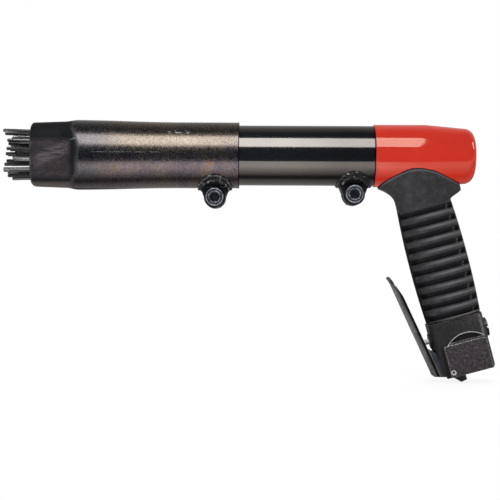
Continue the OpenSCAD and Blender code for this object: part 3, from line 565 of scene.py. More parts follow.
def black_screw():
    """Clamp screws, nuts and valve plug: black oxide with a bright rubbed chamfer and socket edge, partly a
    painted highlight.
    """
    tree, inputs = new_finish("black_screw", 0.6)
    grain, tint = use(tree, FINE_GRAIN, Scale=900, Cloud_Scale=500)
    edges, rounded = use(tree, EDGE_WEAR, Width=0.0007, Breakup=260, Reach=6)
    radii = [away_from(tree, Vector((x, 0, -r - drop))) for x, r, drop in (FRONT_CLAMP, REAR_CLAMP)]
    nearest = maths(tree, "MINIMUM", *radii)
    face = span(tree, maths(tree, "ABSOLUTE", axes_of(tree)[1]), *SCREW_FACE)
    rubbed = span(tree, tint, 0.38, 0.6)
    # Chamfer and socket rings: rubbed metal with a painted highlight
    chamfer = both(tree, within(tree, nearest, *CHAMFER_RING), span(tree, rubbed, 0, 1, 0.3, 1))
    socket = both(tree, within(tree, nearest, *SOCKET_RING), rubbed)
    bright = most(tree, both(tree, most(tree, chamfer, socket), face), both(tree, edges, 0.5))
    body = tones(tree, tint, (0.02, 0.022, 0.03), (0.05, 0.053, 0.066))
    body = layered(tree, body, (bright, (0.46, 0.48, 0.53)))
    feed(tree, inputs, body, spread(tree, grain, 0.26, 0.4), grain, 0.00003, rounded)


# Needles, in mm: burnt from the first place to the second
BURNT_X = (-247, -256)


def needle_steel():
    """Needles: drawn steel, dark between bright rubbed lengths, burnt at the tips."""
    tree, inputs = new_finish("needle_steel", 0.92)
    grain, tint = use(tree, FINE_GRAIN, Scale=1600, Cloud_Scale=90)
    each = cloud(tree, place_of(tree, (0.05, 1, 1)), 330, 1)
    body = colours(tree, each, (0.36, (0.02, 0.02, 0.02)), (0.5, (0.07, 0.069, 0.068)),
                   (0.66, (0.42, 0.412, 0.404)))
    burnt = both(tree, span(tree, axes_of(tree)[0], *BURNT_X), span(tree, tint, 0.4, 0.6))
    body = layered(tree, body, (burnt, (0.1, 0.085, 0.075)))
    feed(tree, inputs, body, spread(tree, tint, 0.1, 0.2), grain, 0.00001)


def seal_rubber():
    """Seals: smooth black rubber."""
    tree, inputs = new_finish("seal_rubber")
    grain, tint = use(tree, FINE_GRAIN, Scale=1500, Cloud_Scale=200)
    body = tones(tree, tint, (0.012, 0.012, 0.013), (0.024, 0.024, 0.026))
    feed(tree, inputs, body, spread(tree, grain, 0.45, 0.6), grain, 0.00005)


def plain_metal(name, dark, light, rough, metal=0.95):
    """Machined inner metal: two close tones with fine tool marks."""
    tree, inputs = new_finish(name, metal)
    grain, tint = use(tree, FINE_GRAIN, Scale=1200, Cloud_Scale=80)
    rounded = use(tree, EDGE_WEAR, Width=0.0004, Breakup=400, Reach=3)["Normal"]
    gloss = spread(tree, grain, rough, rough + 0.12)
    feed(tree, inputs, tones(tree, tint, dark, light), gloss, grain, 0.00003, rounded)


for make in (heat_tinted_steel, blued_steel, weld_metal, red_paint, grip_rubber, black_casting, black_sheet,
             black_screw, needle_steel, seal_rubber):
    make()
plain_metal("machined_steel", (0.3, 0.3, 0.31), (0.42, 0.42, 0.43), 0.3)
plain_metal("bright_steel", (0.62, 0.62, 0.63), (0.76, 0.76, 0.77), 0.2)
plain_metal("pin_steel", (0.6, 0.6, 0.61), (0.78, 0.78, 0.79), 0.36, 0.45)
plain_metal("bronze", (0.42, 0.27, 0.11), (0.55, 0.37, 0.16), 0.28)

CAD_FINISH = {
    "heat_tinted_steel": ["front_tube"],
    "blued_steel": ["barrel_tube"],
    "red_paint": ["back_head"],
    "black_casting": ["throttle_block", "handle_core", "plunger_bush"],
    "black_sheet": ["throttle_lever"],
    "black_screw": ["front_clamp_screw", "front_clamp_nut", "rear_clamp_screw", "rear_clamp_nut",
                    "valve_plug"],
    "bright_steel": ["throttle_ball", "valve_plate"],
    "pin_steel": ["lever_pin", "throttle_plunger"],
    "machined_steel": ["needle_holder", "spring_stop", "stop_circlip", "anvil", "cylinder", "piston",
                       "valve_seat", "valve_cap"],
    "bronze": ["anvil_bush", "throttle_seat", "inlet_screen"],
    "seal_rubber": ["cylinder_seal", "plunger_seal", "plug_seal"],
}


# Geometry node trees


def geometry_tree(name, *sockets):
    """Empty geometry tree with a mesh in and out and (name, kind, default) inputs."""
    tree = bpy.data.node_groups.new(name, "GeometryNodeTree")
    tree.interface.new_socket("Geometry", in_out="INPUT", socket_type="NodeSocketGeometry")
    tree.interface.new_socket("Geometry", in_out="OUTPUT", socket_type="NodeSocketGeometry")
    for label, kind, value in sockets:
        socket = tree.interface.new_socket(label, in_out="INPUT", socket_type="NodeSocket" + kind)
        if value is not None:
            socket.default_value = value
    return tree, tree.nodes.new("NodeGroupInput").outputs, tree.nodes.new("NodeGroupOutput").inputs[0]


def grown(name, tree, values, start=None):
    """Plain mesh piece made by a geometry tree from a start mesh."""
    seed = bpy.data.objects.new(name + "_start", start or bpy.data.meshes.new(name + "_start"))
    scene.collection.objects.link(seed)
    modifier = seed.modifiers.new("grow", "NODES")
    modifier.node_group = tree
    for item in tree.interface.items_tree:
        if item.in_out == "INPUT" and item.name in values:
            modifier[item.identifier] = values[item.name]
    graph = bpy.context.evaluated_depsgraph_get()
    mesh = bpy.data.meshes.new_from_object(seed.evaluated_get(graph), preserve_all_data_layers=False,
                                           depsgraph=graph)
    bpy.data.objects.remove(seed)
    mesh.name = name
    made = bpy.data.objects.new(name, mesh)
    scene.collection.objects.link(made)
    return made


def finish_tree(tree, geometry, out, material):
    """Realized, smooth and in its finish."""
    real = get(tree, "GeometryNodeRealizeInstances", {0: geometry})
    soft = get(tree, "GeometryNodeSetShadeSmooth", {"Geometry": real})
    finished = get(tree, "GeometryNodeSetMaterial", {"Geometry": soft, "Material": material})
    tree.links.new(finished, out)


def lift(tree, geometry, height):
    up = get(tree, "ShaderNodeCombineXYZ", {2: height})
    return get(tree, "GeometryNodeTransform", {"Geometry": geometry, "Translation": up})


def swept(tree, line, radius, sides):
    """Round section swept along a curve, closed at its ends."""
    ring = get(tree, "GeometryNodeCurvePrimitiveCircle", {"Resolution": sides, "Radius": radius})
    inputs = {"Curve": line, "Profile Curve": ring, "Fill Caps": True}
    return get(tree, "GeometryNodeCurveToMesh", inputs)


def make_smooth_faces():
    """CAD triangles joined and shaded smooth up to an edge angle."""
    tree, given, out = geometry_tree("smooth_faces", ("Angle", "Float", math.radians(28)))
    joining = {"Geometry": given["Geometry"], "Distance": 1e-6}
    joined = get(tree, "GeometryNodeMergeByDistance", joining)
    soft = get(tree, "GeometryNodeSetShadeSmooth", {"Geometry": joined})
    angle = get(tree, "GeometryNodeInputMeshEdgeAngle")
    sharp = get(tree, "FunctionNodeCompare", {0: angle, 1: given["Angle"]}, operation="GREATER_THAN")
    splitting = {"Geometry": soft, "Selection": sharp, "Shade Smooth": False}
    tree.links.new(get(tree, "GeometryNodeSetShadeSmooth", splitting, domain="EDGE"), out)
    return tree


NEEDLE_SIDES, WIRE_SIDES, BEAD_SIDES = 18, 12, 16
SPRING_STEPS, BEAD_STEP = 40, 0.0004
NOISE_MIDDLE, NOISE_SWING = 0.5, 0.25


def make_needle_bundle():
    """Needles with bevelled tips, each from its tip along the aim attribute."""
    tree, given, out = geometry_tree(
        "needle_bundle", ("Radius", "Float", 0.0015), ("Length", "Float", 0.18), ("Tip", "Float", 0.0006),
        ("Head Radius", "Float", 0.0021), ("Head Length", "Float", 0.004), ("Material", "Material", None))

    def shape(kind, fill, **inputs):
        inputs = {key.replace("_", " "): value for key, value in inputs.items()}
        made = add(tree, "GeometryNodeMesh" + kind, {"Vertices": NEEDLE_SIDES, **inputs}, fill_type=fill)
        return made.outputs["Mesh"]

    half_head = maths(tree, "MULTIPLY", given["Head Length"], 0.5)
    shaft_end = maths(tree, "SUBTRACT", given["Length"], half_head)
    shaft_l = maths(tree, "SUBTRACT", shaft_end, given["Tip"])
    shaft_middle = maths(tree, "ADD", given["Tip"], maths(tree, "MULTIPLY", shaft_l, 0.5))
    narrow = maths(tree, "SUBTRACT", given["Radius"], given["Tip"])
    shaft = shape("Cylinder", "NONE", Radius=given["Radius"], Depth=shaft_l)
    tip = shape("Cone", "NONE", Radius_Top=given["Radius"], Radius_Bottom=narrow, Depth=given["Tip"])
    front = get(tree, "GeometryNodeFlipFaces", {"Mesh": shape("Circle", "NGON", Radius=narrow)})
    rear = shape("Circle", "NGON", Radius=given["Radius"])
    head = shape("Cylinder", "NGON", Radius=given["Head Radius"], Depth=given["Head Length"])
    whole = add(tree, "GeometryNodeJoinGeometry")
    for part in (lift(tree, shaft, shaft_middle), tip, front, lift(tree, rear, shaft_end),
                 lift(tree, head, shaft_end)):
        tree.links.new(part, whole.inputs[0])
    aim = get(tree, "GeometryNodeInputNamedAttribute", {"Name": "aim"}, data_type="FLOAT_VECTOR")
    turn = get(tree, "FunctionNodeAlignRotationToVector", {"Vector": aim}, axis="Z")
    placing = {"Points": given["Geometry"], "Instance": whole.outputs[0], "Rotation": turn}
    finish_tree(tree, get(tree, "GeometryNodeInstanceOnPoints", placing), out, given["Material"])
    return tree


def make_wound_spring():
    """Spring wire wound along Z, then turned and placed."""
    tree, given, out = geometry_tree(
        "wound_spring", ("Radius", "Float", 0.02), ("Wire", "Float", 0.0022), ("Height", "Float", 0.04),
        ("Turns", "Float", 7), ("Turn", "Vector", None), ("Place", "Vector", None),
        ("Material", "Material", None))
    line = get(tree, "GeometryNodeCurveSpiral", {
        "Resolution": SPRING_STEPS, "Rotations": given["Turns"], "Start Radius": given["Radius"],
        "End Radius": given["Radius"], "Height": given["Height"]})
    wire = swept(tree, line, maths(tree, "MULTIPLY", given["Wire"], 0.5), WIRE_SIDES)
    placing = {"Geometry": wire, "Translation": given["Place"], "Rotation": given["Turn"]}
    finish_tree(tree, get(tree, "GeometryNodeTransform", placing), out, given["Material"])
    return tree


def make_weld_bead():
    """Rippled bead swept along the start mesh's edges."""
    tree, given, out = geometry_tree("weld_bead", ("Radius", "Float", 0.0016), ("Ripple", "Float", 0.0005),
                                     ("Ripple Scale", "Float", 420), ("Material", "Material", None))
    line = get(tree, "GeometryNodeMeshToCurve", {"Mesh": given["Geometry"]})
    line = get(tree, "GeometryNodeResampleCurve", {"Curve": line, "Length": BEAD_STEP}, mode="LENGTH")
    bead = swept(tree, line, given["Radius"], BEAD_SIDES)
    bumps = {"Vector": get(tree, "GeometryNodeInputPosition"), "Scale": given["Ripple Scale"],
             "Detail": 3.0}
    bumps = get(tree, "ShaderNodeTexNoise", bumps)
    out_by = both(tree, maths(tree, "SUBTRACT", bumps, NOISE_MIDDLE),
                  maths(tree, "DIVIDE", given["Ripple"], NOISE_SWING))
    facing = get(tree, "GeometryNodeInputNormal")
    push = get(tree, "ShaderNodeVectorMath", {0: facing, "Scale": out_by}, operation="SCALE")
    rough = get(tree, "GeometryNodeSetPosition", {"Geometry": bead, "Offset": push})
    finish_tree(tree, rough, out, given["Material"])
    return tree


# Stage, in metres

# Lamps: place, aim, width and height, surface brightness, whether glossy surfaces mirror them
LAMPS = {
    "key_softbox": ((-0.06, -0.75, 0.825), (-0.06, 0, -0.02), (0.78, 0.73), 5.0, True),
    "front_fill": ((-0.3, -1.6, 0.5), (0, 0, -0.05), (1.6, 1.2), 0.5, False),
    "low_fill": ((-0.05, -0.24, -0.186), (-0.05, -0.12, 0.1), (0.9, 0.26), 2.4, False),
    "side_glint": ((1.5, 0.1, 0.65), (0.14, 0, 0), (0.14, 0.5), 14.0, True),
    "nose_fill": ((-1.7, -0.3, 0.5), (-0.1, 0, 0), (1.2, 1.2), 1.6, False),
    "tail_fill": ((1.7, -0.2, 0.4), (0.1, 0, -0.05), (1.2, 1.2), 1.6, False),
    "top_fill": ((0.05, -0.15, 1.4), (0.05, 0, 0), (1.2, 0.6), 2.0, False),
    "rear_fill": ((0.1, 1.2, 1.5), (0, 0, -0.05), (1.6, 1.2), 4.5, False),
}

# Room: brightness and tone from the front to the rear, each from, to and its values there
ROOM_LEVEL, ROOM_TONE = (0.05, 0.75, 0.085, 0.45), (-0.2, 0.4)

# Floor: half size, front edge before the object, drop below it
FLOOR_HALF, FLOOR_FRONT, FLOOR_DROP = 4, 0.41, 0.0004
# Painted reflection: what metal mirrors of it before, behind and along the object, a glow for glossy rays
# only, and its fade to white: from, to, values there
MIRROR_BEFORE, MIRROR_BEHIND = (-0.2, -0.02, 1.6, 0.06), (0.01, 0.08, 0.0, 0.38)
MIRROR_ALONG = (0.09, 0.17, 1.0, 0.5)
WHITE_AWAY, WHITE_ALONG = (0.08, 0.4, 0.88, 1.0), (0.3, 0.7, 0.88, 1.0)
WHITE = (1, 1, 1, 1)


def place_camera():
    data = bpy.data.cameras.new("photo_camera")
    data.sensor_width = SENSOR_MM
    data.lens = SENSOR_MM * CAMERA_BACK / (FRAME_PX * PX_MM * MM)
    camera = bpy.data.objects.new("photo_camera", data)
    right = (FRAME_PX / 2 - ORIGIN_PX[0]) * PX_MM * MM
    up = (ORIGIN_PX[1] - FRAME_PX / 2) * PX_MM * MM
    at = Matrix.Translation((right, -CAMERA_BACK, up))
    camera.matrix_world = at @ Matrix.Rotation(math.pi / 2, 4, "X") @ Matrix.Rotation(CAMERA_ROLL, 4, "Z")
    scene.collection.objects.link(camera)
    scene.camera = camera


def softbox(name, at, aim, size, radiance, mirrored):
    """Rectangular lamp of a given surface brightness, which glossy surfaces may mirror."""
    data = bpy.data.lights.new(name, "AREA")
    data.shape = "RECTANGLE"
    data.size, data.size_y = size
    data.energy = radiance * math.pi * size[0] * size[1]
    lamp = bpy.data.objects.new(name, data)
    lamp.location = at
    lamp.visible_camera = False
    lamp.visible_glossy = mirrored
    lamp.rotation_euler = (Vector(aim) - Vector(at)).to_track_quat("-Z", "Y").to_euler()
    scene.collection.objects.link(lamp)


def studio_world():
    """White behind the object for the camera; dim in front and paler behind for light and reflections."""
    world = bpy.data.worlds.new("studio")
    scene.world = world
    tree = empty_tree(world)
    direction = add(tree, "ShaderNodeTexCoord").outputs["Generated"]
    toward = add(tree, "ShaderNodeSeparateXYZ", {0: direction}).outputs[1]
    level = span(tree, toward, *ROOM_LEVEL)
    tone = colours(tree, span(tree, toward, *ROOM_TONE), (0.0, (0.6, 0.78, 1.05)), (1.0, (1.0, 0.985, 0.97)))
    room = get(tree, "ShaderNodeBackground", {"Color": tone, "Strength": level})
    white = get(tree, "ShaderNodeBackground", {"Color": WHITE, "Strength": 1.0})
    seen = add(tree, "ShaderNodeLightPath").outputs["Is Camera Ray"]
    mixed = get(tree, "ShaderNodeMixShader", {0: seen, 1: room, 2: white})
    tree.links.new(mixed, add(tree, "ShaderNodeOutputWorld").inputs[0])


def floor_paper():
    """White paper: keeps the shadow, fades to white, glows for glossy rays as a painted reflection of a lit
    floor, is clear from below.
    """
    made = bpy.data.materials.new("pale_floor")
    tree = empty_tree(made)
    along, y, _ = axes_of(tree, 1)
    away = maths(tree, "ADD", y, FLOOR_HALF - FLOOR_FRONT)
    paper = get(tree, "ShaderNodeBsdfDiffuse", {"Color": (0.86, 0.86, 0.86, 1)})
    white = get(tree, "ShaderNodeEmission", {"Color": WHITE, "Strength": 1.0})
    # Glow seen only by glossy rays: a painted reflection of a lit floor, brighter in front of the object
    lit = maths(tree, "ADD", span(tree, away, *MIRROR_BEFORE), span(tree, away, *MIRROR_BEHIND))
    lit = both(tree, lit, span(tree, along, *MIRROR_ALONG))
    mirrored = get(tree, "ShaderNodeEmission", {"Color": (1, 0.97, 0.96, 1), "Strength": lit})
    ray = add(tree, "ShaderNodeLightPath").outputs
    far = most(tree, span(tree, maths(tree, "ABSOLUTE", away), *WHITE_AWAY),
               span(tree, maths(tree, "ABSOLUTE", along), *WHITE_ALONG))
    mixed = get(tree, "ShaderNodeMixShader", {0: ray["Is Glossy Ray"], 1: paper, 2: mirrored})
    whiter = both(tree, ray["Is Camera Ray"], far)
    mixed = get(tree, "ShaderNodeMixShader", {0: whiter, 1: mixed, 2: white})
    below = add(tree, "ShaderNodeNewGeometry").outputs["Backfacing"]
    clear = get(tree, "ShaderNodeBsdfTransparent")
    mixed = get(tree, "ShaderNodeMixShader", {0: below, 1: mixed, 2: clear})
    tree.links.new(mixed, add(tree, "ShaderNodeOutputMaterial").inputs[0])
    return made


def pale_floor():
    """White floor under the object, fading into the background."""
    bm = bmesh.new()
    bmesh.ops.create_grid(bm, x_segments=1, y_segments=1, size=FLOOR_HALF)
    mesh = bpy.data.meshes.new("pale_floor")
    bm.to_mesh(mesh)
    bm.free()
    floor = bpy.data.objects.new("pale_floor", mesh)
    floor.location = (0, FLOOR_HALF - FLOOR_FRONT, cad_box[0].z - FLOOR_DROP)
    scene.collection.objects.link(floor)
    mesh.materials.append(floor_paper())


# Pieces


def solid_piece(name, rows, painted_light, finish):
    """Smooth piece skinned over closed rings of points in mm, the last joined to the first."""
    count, size = len(rows), len(rows[0])
    mesh = bpy.data.meshes.new(name)
    faces = []
    for r in range(count):
        a, b = r * size, (r + 1) % count * size
        faces += [(a + i, a + (i + 1) % size, b + (i + 1) % size, b + i) for i in range(size)]
    mesh.from_pydata([Vector(p) * MM for row in rows for p in row], [], faces)
    # Painted light and shade for each point, read by the sleeve's finish
    mesh.attributes.new("painted_light", "FLOAT", "POINT").data.foreach_set("value", painted_light)
    bm = bmesh.new()
    bm.from_mesh(mesh)
    bmesh.ops.remove_doubles(bm, verts=bm.verts, dist=1e-7)
    bmesh.ops.recalc_face_normals(bm, faces=bm.faces)
    for face in bm.faces:
        face.smooth = True
    bm.to_mesh(mesh)
    bm.free()
    mesh.materials.append(FINISH[finish])
    made = bpy.data.objects.new(name, mesh)
    scene.collection.objects.link(made)
    return made


# Back head, in mm along the barrel: straight, then tapered
HEAD_R, HEAD_STRAIGHT_END, HEAD_TAPER_END, HEAD_END_R, HEAD_ROOM = 26.5, 101, 133, 23.5, 0.06

# Grip sleeve, in mm along the handle: half sizes of the grip and the saddle, and the grip's bow
NECK_END, SADDLE_TOP, SADDLE_RISE = 44, 8, 8
SLEEVE_HALF_D, SLEEVE_HALF_W, SADDLE_HALF_L, SADDLE_HALF_W = 25, 20, 34, 24
BOW, NECK_DIP, SECTION_POWER = 1.7, 0.3, 2.3
# Where the grip widens into the saddle, and the painted shade line and painted highlight along the saddle's
# edge, from and to
REAR_FLARE, FRONT_FLARE, SIDE_FLARE = (44, 38), (35, 20), (41, 13)
EDGE_PALE, EDGE_SHADE, EDGE_LIGHT, EDGE_DARK = (3, 1.5), (1.4, 0.6), 0.7, 1.5
# Grooves and ribs: shares of a pitch are counted from the middle of a groove
GROOVES, GROOVE_FIRST, GROOVE_LAST, GROOVE_D = 10, 49.6, 138.7, 3.0
RIB_PITCH = (GROOVE_LAST - GROOVE_FIRST) / (GROOVES - 1)
GROOVE_HALF, WALL_SHARE, RIB_CREST, RIB_ROUND = 0.05, 0.08, 0.36, 2.4
CUT_T, CUT_Y = 0.55, 0.95
# Painted highlight band on the upper face of each rib; painted shade under each rib and in each groove
LIT_FROM, LIT_TO, UNDER = (0.13, 0.28), (0.48, 0.28), (0.53, 0.71)
IN_GROOVE = (0.55, 0.1)
# Ends of the grooves, in degrees from the side: pockets, then the spine
POCKET_D, POCKET_SIDE, SPINE_SIDE = 2.6, 47, 77
POCKET_BELOW, POCKET_ABOVE = (0.68, 0.76), (0.12, 0.06)
# Painted highlight along the inner edges of the pockets
RIM_OFF, RIM_HALF = 2, 4
# Painted light and shade of the sleeve: light from the rear by the cosine of the section angle, and the
# weight of each painted highlight and painted shade
REAR_LIT, REAR_DIM, REAR_DIMMED = (-0.7, 0.1), (0.3, 0.7), 0.35
CREST_LIGHT, LIP_LIGHT, RIM_LIGHT = 0.75, 1.6, 1.4
GROOVE_DARK, UNDER_DARK, POCKET_DARK, SPINE_DARK = 0.65, 0.95, 0.8, 0.6
# Lower end: painted highlight line of the lip, and the rounded edge as (distance above the end, inset)
LIP_S, LIP_W = 139.9, 0.8
END_EDGE = ((1.2, 0), (0.5, 0.2), (0.1, 0.7), (0, 1.3))
# Handle core inside it, and the steps of the mesh
CORE_HALF_D, CORE_R = 3.5, 13.05
SLEEVE_SIDES, RIB_STEPS, FLARE_STEPS, UNDER_STEPS = 160, 22, 26, 5
RIB_LEAD, NECK_ROOM, FLARE_EASE, HALVINGS, UNDER_HEAD_END = 0.6, 0.4, 1.2, 40, 60


def head_radius(x):
    return mix(HEAD_R, HEAD_END_R, share(x, HEAD_STRAIGHT_END, HEAD_TAPER_END))


def sleeve_bow(s):
    middle, half = (NECK_END + SLEEVE_END) / 2, (SLEEVE_END - NECK_END) / 2
    return max(-NECK_DIP, BOW * (1 - ((s - middle) / half) ** 2))


def sleeve_outside(s, angle):
    """(t, y) of the smooth sleeve at s and a section angle."""
    c, d = math.cos(angle), math.sin(angle)
    in_head = rise(s, SADDLE_TOP, SADDLE_TOP + SADDLE_RISE)
    flare = rise(s, *REAR_FLARE) if c > 0 else share(s, *FRONT_FLARE) ** 2
    reach = mix(SLEEVE_HALF_D - BOW + sleeve_bow(s), SADDLE_HALF_L, in_head * flare)
    half = mix(SLEEVE_HALF_W - BOW + sleeve_bow(s), SADDLE_HALF_W, rise(s, *SIDE_FLARE))
    return reach * bend(c, SECTION_POWER), half * bend(d, SECTION_POWER)


def grip_relief_and_shade(s, angle):
    """Depth of the grip at s under its smooth outside, and its painted light and shade: 1 plain, more for
    painted highlights, less for painted shade.
    """
    c = math.cos(angle)
    side = 90 - math.degrees(math.atan2(abs(math.sin(angle)), abs(c)))
    turn = (s - GROOVE_FIRST) / RIB_PITCH
    w = turn % 1
    before_last = turn < GROOVES - 1
    if before_last:
        slope = RIB_CREST - GROOVE_HALF if w < RIB_CREST else 1 - GROOVE_HALF - RIB_CREST
        rib = (1 - min(1, abs(w - RIB_CREST) / slope) ** RIB_ROUND) ** (1 / RIB_ROUND)
    else:
        rib = rise(w, GROOVE_HALF, GROOVE_HALF + WALL_SHARE)
    ends = rise(side, SPINE_SIDE, SPINE_SIDE - 4)
    hollow = max(rise(w, *POCKET_BELOW) * before_last, rise(w, *POCKET_ABOVE))
    pocket = ends * rise(side, POCKET_SIDE, POCKET_SIDE + 3) * hollow
    cut = GROOVE_D * (1 - rib) * ends + POCKET_D * pocket

    # Painted highlights on rib tops, lip line and pocket edges, stronger towards the rear; painted shade in
    # grooves, under ribs, in pockets and on the front spine
    painted_light = rise(w, *LIT_FROM) * rise(w, *LIT_TO) * (turn > 0) * before_last
    lip = max(0, 1 - abs(s - LIP_S) / LIP_W)
    rearward = rise(c, *REAR_LIT) - REAR_DIMMED * rise(c, *REAR_DIM)
    lit = (painted_light + LIP_LIGHT * lip) * rearward
    shaded = max(rise(rib, *IN_GROOVE), UNDER_DARK * rise(w, *UNDER) * before_last)
    rim = hollow * max(0, 1 - abs(side - POCKET_SIDE + RIM_OFF) / RIM_HALF) * (c > 0)
    spine = rise(side, SPINE_SIDE - 8, SPINE_SIDE - 2) * (c < 0)
    shade = 1 + ends * (CREST_LIGHT * lit - GROOVE_DARK * shaded) + RIM_LIGHT * rim
    return cut, max(0, shade - POCKET_DARK * pocket - SPINE_DARK * spine)


def leaves_head(low, high, point_at):
    """s between low and high where a line of points leaves the back head, with a hair of room."""
    for _ in range(HALVINGS):
        s = (low + high) / 2
        p = point_at(s)
        if math.hypot(p.y, p.z) < head_radius(p.x) + HEAD_ROOM:
            low = s
        else:
            high = s
    return high


def core_outside(angle):
    """(t, y) on the handle core, seen from its middle at a section angle."""
    c, d = math.cos(angle), math.sin(angle)
    if abs(c) * CORE_R <= CORE_HALF_D * abs(d):
        return CORE_R * c / abs(d), math.copysign(CORE_R, d)
    along = CORE_HALF_D * abs(c)
    reach = along + math.sqrt(CORE_R ** 2 - (CORE_HALF_D * d) ** 2)
    return reach * c, reach * d


def sleeve_column(angle, ribs):
    """Points of the sleeve at a section angle, from the saddle's edge round to the head, and their painted
    light and shade.
    """
    c, d = math.cos(angle), math.sin(angle)
    top = leaves_head(SADDLE_TOP, NECK_END, lambda s: handle_point(s, *sleeve_outside(s, angle)))
    edge, core = sleeve_outside(top, angle), core_outside(angle)
    line, painted_light = [], []
    for k in range(FLARE_STEPS + 1):
        s = mix(top, NECK_END, (k / FLARE_STEPS) ** FLARE_EASE)
        line.append(handle_point(s, *sleeve_outside(s, angle)))
        # Painted highlight along the saddle's edge, with a painted shade line right at it
        painted_light.append(1 + EDGE_LIGHT * rise(s - top, *EDGE_PALE) - EDGE_DARK * rise(s - top, *EDGE_SHADE))
    for s in ribs:
        t, y = sleeve_outside(s, angle)
        cut, shade = grip_relief_and_shade(s, angle)
        line.append(handle_point(s, t - cut * c * CUT_T, y - cut * d * CUT_Y))
        painted_light.append(shade)
    for above, inset in END_EDGE:
        t, y = sleeve_outside(SLEEVE_END - above, angle)
        line.append(handle_point(SLEEVE_END - above, t - inset * c, y - inset * d))
    line.append(handle_point(SLEEVE_END, *core))
    for k in range(UNDER_STEPS + 1):
        t, y = (mix(core[n], edge[n], k / (UNDER_STEPS + 1)) for n in (0, 1))
        line.append(handle_point(leaves_head(0, UNDER_HEAD_END, lambda s: handle_point(s, t, y)), t, y))
    return line, painted_light + [1] * (len(line) - len(painted_light))


def grip_sleeve():
    """Ribbed sleeve: columns of points down the handle, closed along the core and under the back head."""
    ribs = [GROOVE_FIRST + RIB_PITCH * (k / RIB_STEPS - RIB_LEAD) for k in range(RIB_STEPS * (GROOVES + 1))]
    ribs = [s for s in ribs if NECK_END + NECK_ROOM < s < LIP_S - LIP_W]
    ribs += [LIP_S + LIP_W * k / 2 for k in range(-1, 3)]
    columns, painted_lights = [], []
    for i in range(SLEEVE_SIDES):
        line, painted_light = sleeve_column(2 * math.pi * (i + 0.5) / SLEEVE_SIDES, ribs)
        columns.append(line)
        painted_lights += painted_light
    sleeve = solid_piece("ribbed_grip", columns, painted_lights, "grip_rubber")
    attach(sleeve, "tool_body")
    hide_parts("grip_sleeve")


# Needles, in mm: sizes of one, and rings of them held in the holder and spread at the mouth
HOLDER_REAR, MOUTH_X = -81.8, -232
NEEDLE_R, NEEDLE_L, NEEDLE_TIP, NEEDLE_HEAD_R, NEEDLE_HEAD_L, NEEDLE_HEAD_ROOM = 1.5, 180, 0.5, 2.1, 4, 0.05
NEEDLE_RINGS, RING_SCALE, RING_TURN = (15, 9, 4), (1, 0.66, 0.28), (3, 20, 25)
RING_R, SPREAD_Y, SPREAD_Z = 15.4, 15.4, 19.9
# Each needle is pushed back by its own share of this, in golden steps as in the CAD
TIP_SPREAD, GOLDEN, GOLDEN_START = 11.7, 0.618, 0.1


def needle_pack():
    """Loose needles, held at their heads and spread towards the mouth."""
    starts, aims = [], []
    for ring, count in enumerate(NEEDLE_RINGS):
        for k in range(count):
            w = math.radians(RING_TURN[ring] + 360 * k / count)
            c, d = RING_SCALE[ring] * math.cos(w), RING_SCALE[ring] * math.sin(w)
            held = Vector((HOLDER_REAR, RING_R * c, RING_R * d))
            line = (Vector((MOUTH_X, SPREAD_Y * c, SPREAD_Z * d)) - held).normalized()
            pushed = TIP_SPREAD * ((GOLDEN * (k * (ring + 2) + 3 * ring) + GOLDEN_START) % 1)
            starts.append((held + line * (NEEDLE_L - NEEDLE_HEAD_L - pushed)) * MM)
            aims.append(-line)
    mesh = bpy.data.meshes.new("needle_tips")
    mesh.from_pydata(starts, [], [])
    aim = mesh.attributes.new("aim", "FLOAT_VECTOR", "POINT")
    aim.data.foreach_set("vector", [x for v in aims for x in v])
    needles = grown("needle_bundle", make_needle_bundle(), {
        "Radius": NEEDLE_R * MM, "Length": NEEDLE_L * MM, "Tip": NEEDLE_TIP * MM,
        "Head Radius": NEEDLE_HEAD_R * MM, "Head Length": (NEEDLE_HEAD_L - NEEDLE_HEAD_ROOM) * MM,
        "Material": FINISH["needle_steel"]}, mesh)
    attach(needles, "needle_pack")
    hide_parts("needles")


# Springs, in mm: centre radius, wire, start, end, and turns
RETURN_SPRING = (21.6, 2.2, -139.2, -95.2, 7)
THROTTLE_SPRING = (3.6, 1.0, 10.31, 18.2, 3)
VALVE_S = 156.2


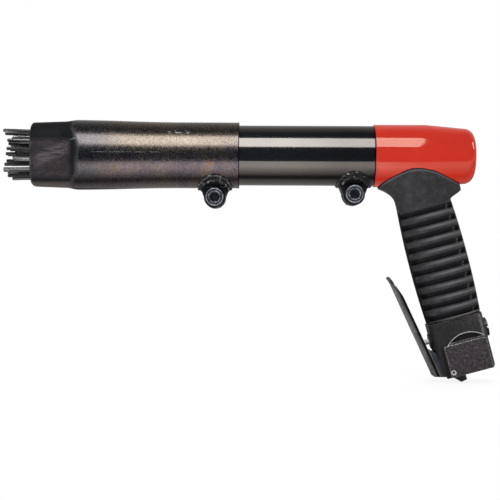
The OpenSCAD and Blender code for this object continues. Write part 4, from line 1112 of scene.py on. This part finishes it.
def springs():
    """Return spring and throttle spring, wound to the lengths between the pieces that press them."""
    tree = make_wound_spring()

    def wound(name, size, turned, place):
        radius, wire, start, end, turns = size
        return grown(name, tree, {
            "Radius": radius * MM, "Wire": wire * MM, "Height": (end - start) * MM, "Turns": turns,
            "Turn": (0, turned, 0), "Place": place, "Material": FINISH["machined_steel"]})

    start, end = RETURN_SPRING[2:4]
    spring = wound("needle_return_spring", RETURN_SPRING, math.pi / 2, (start * MM, 0, 0))
    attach(spring, "tool_body")
    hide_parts("return_spring")
    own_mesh(spring)
    start, end = THROTTLE_SPRING[2:4]
    place = handle_point(VALVE_S, start, 0) * MM
    spring = wound("throttle_valve_spring", THROTTLE_SPRING, math.pi / 2 - TILT, place)
    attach(spring, "tool_body")
    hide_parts("throttle_spring")
    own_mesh(spring)


# Welds, in mm: rows as (inset from the pad's edge, lift off the tube), and the bead
WELD_ROWS, WELD_STEPS, SLIT_ROOM = ((0, 0.2), (3.2, 1.6)), 40, 1.6
BEAD_R, BEAD_RIPPLE, RIPPLE_SCALE = 1.5, 0.45, 420
WELD_BEAD = make_weld_bead()


def clamp_welds(name, clamp, body):
    """Weld beads along both feet of a clamp, following the tube."""
    x, r, drop = clamp
    points, edges = [], []
    for side in (-1, 1):
        for inset, lift_by in WELD_ROWS:
            first = len(points)
            for k in range(WELD_STEPS + 1):
                a = math.pi * k / WELD_STEPS
                px = (PAD_R - inset) * math.cos(a)
                pz = -r - drop + PAD_LIFT + (PAD_R - inset) * math.sin(a)
                py = math.sqrt(max(0, (r + lift_by) ** 2 - pz * pz))
                if py >= SLIT_HALF + SLIT_ROOM:
                    points.append(Vector((x + px, side * py, pz)) * MM)
            edges += [(n, n + 1) for n in range(first, len(points) - 1)]
    mesh = bpy.data.meshes.new(name + "_line")
    mesh.from_pydata(points, edges, [])
    beads = grown(name, WELD_BEAD, {"Radius": BEAD_R * MM, "Ripple": BEAD_RIPPLE * MM,
                                    "Ripple Scale": RIPPLE_SCALE, "Material": FINISH["weld_metal"]}, mesh)
    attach(beads, body)


def dress_cad():
    """Finishes and smooth faces for the CAD nodes that stay."""
    smooth_faces = make_smooth_faces()
    for finish, nodes in CAD_FINISH.items():
        for name in nodes:
            node = cad[name]
            node.data.materials.clear()
            node.data.materials.append(FINISH[finish])
            modifier = node.modifiers.new("smooth_faces", "NODES")
            modifier.node_group = smooth_faces


scene.view_settings.view_transform = "Standard"
place_camera()
studio_world()
pale_floor()
for lamp_name, lamp_values in LAMPS.items():
    softbox(lamp_name, *lamp_values)
dress_cad()
needle_pack()
grip_sleeve()
springs()
clamp_welds("front_clamp_weld", FRONT_CLAMP, "nozzle")
clamp_welds("rear_clamp_weld", REAR_CLAMP, "tool_body")
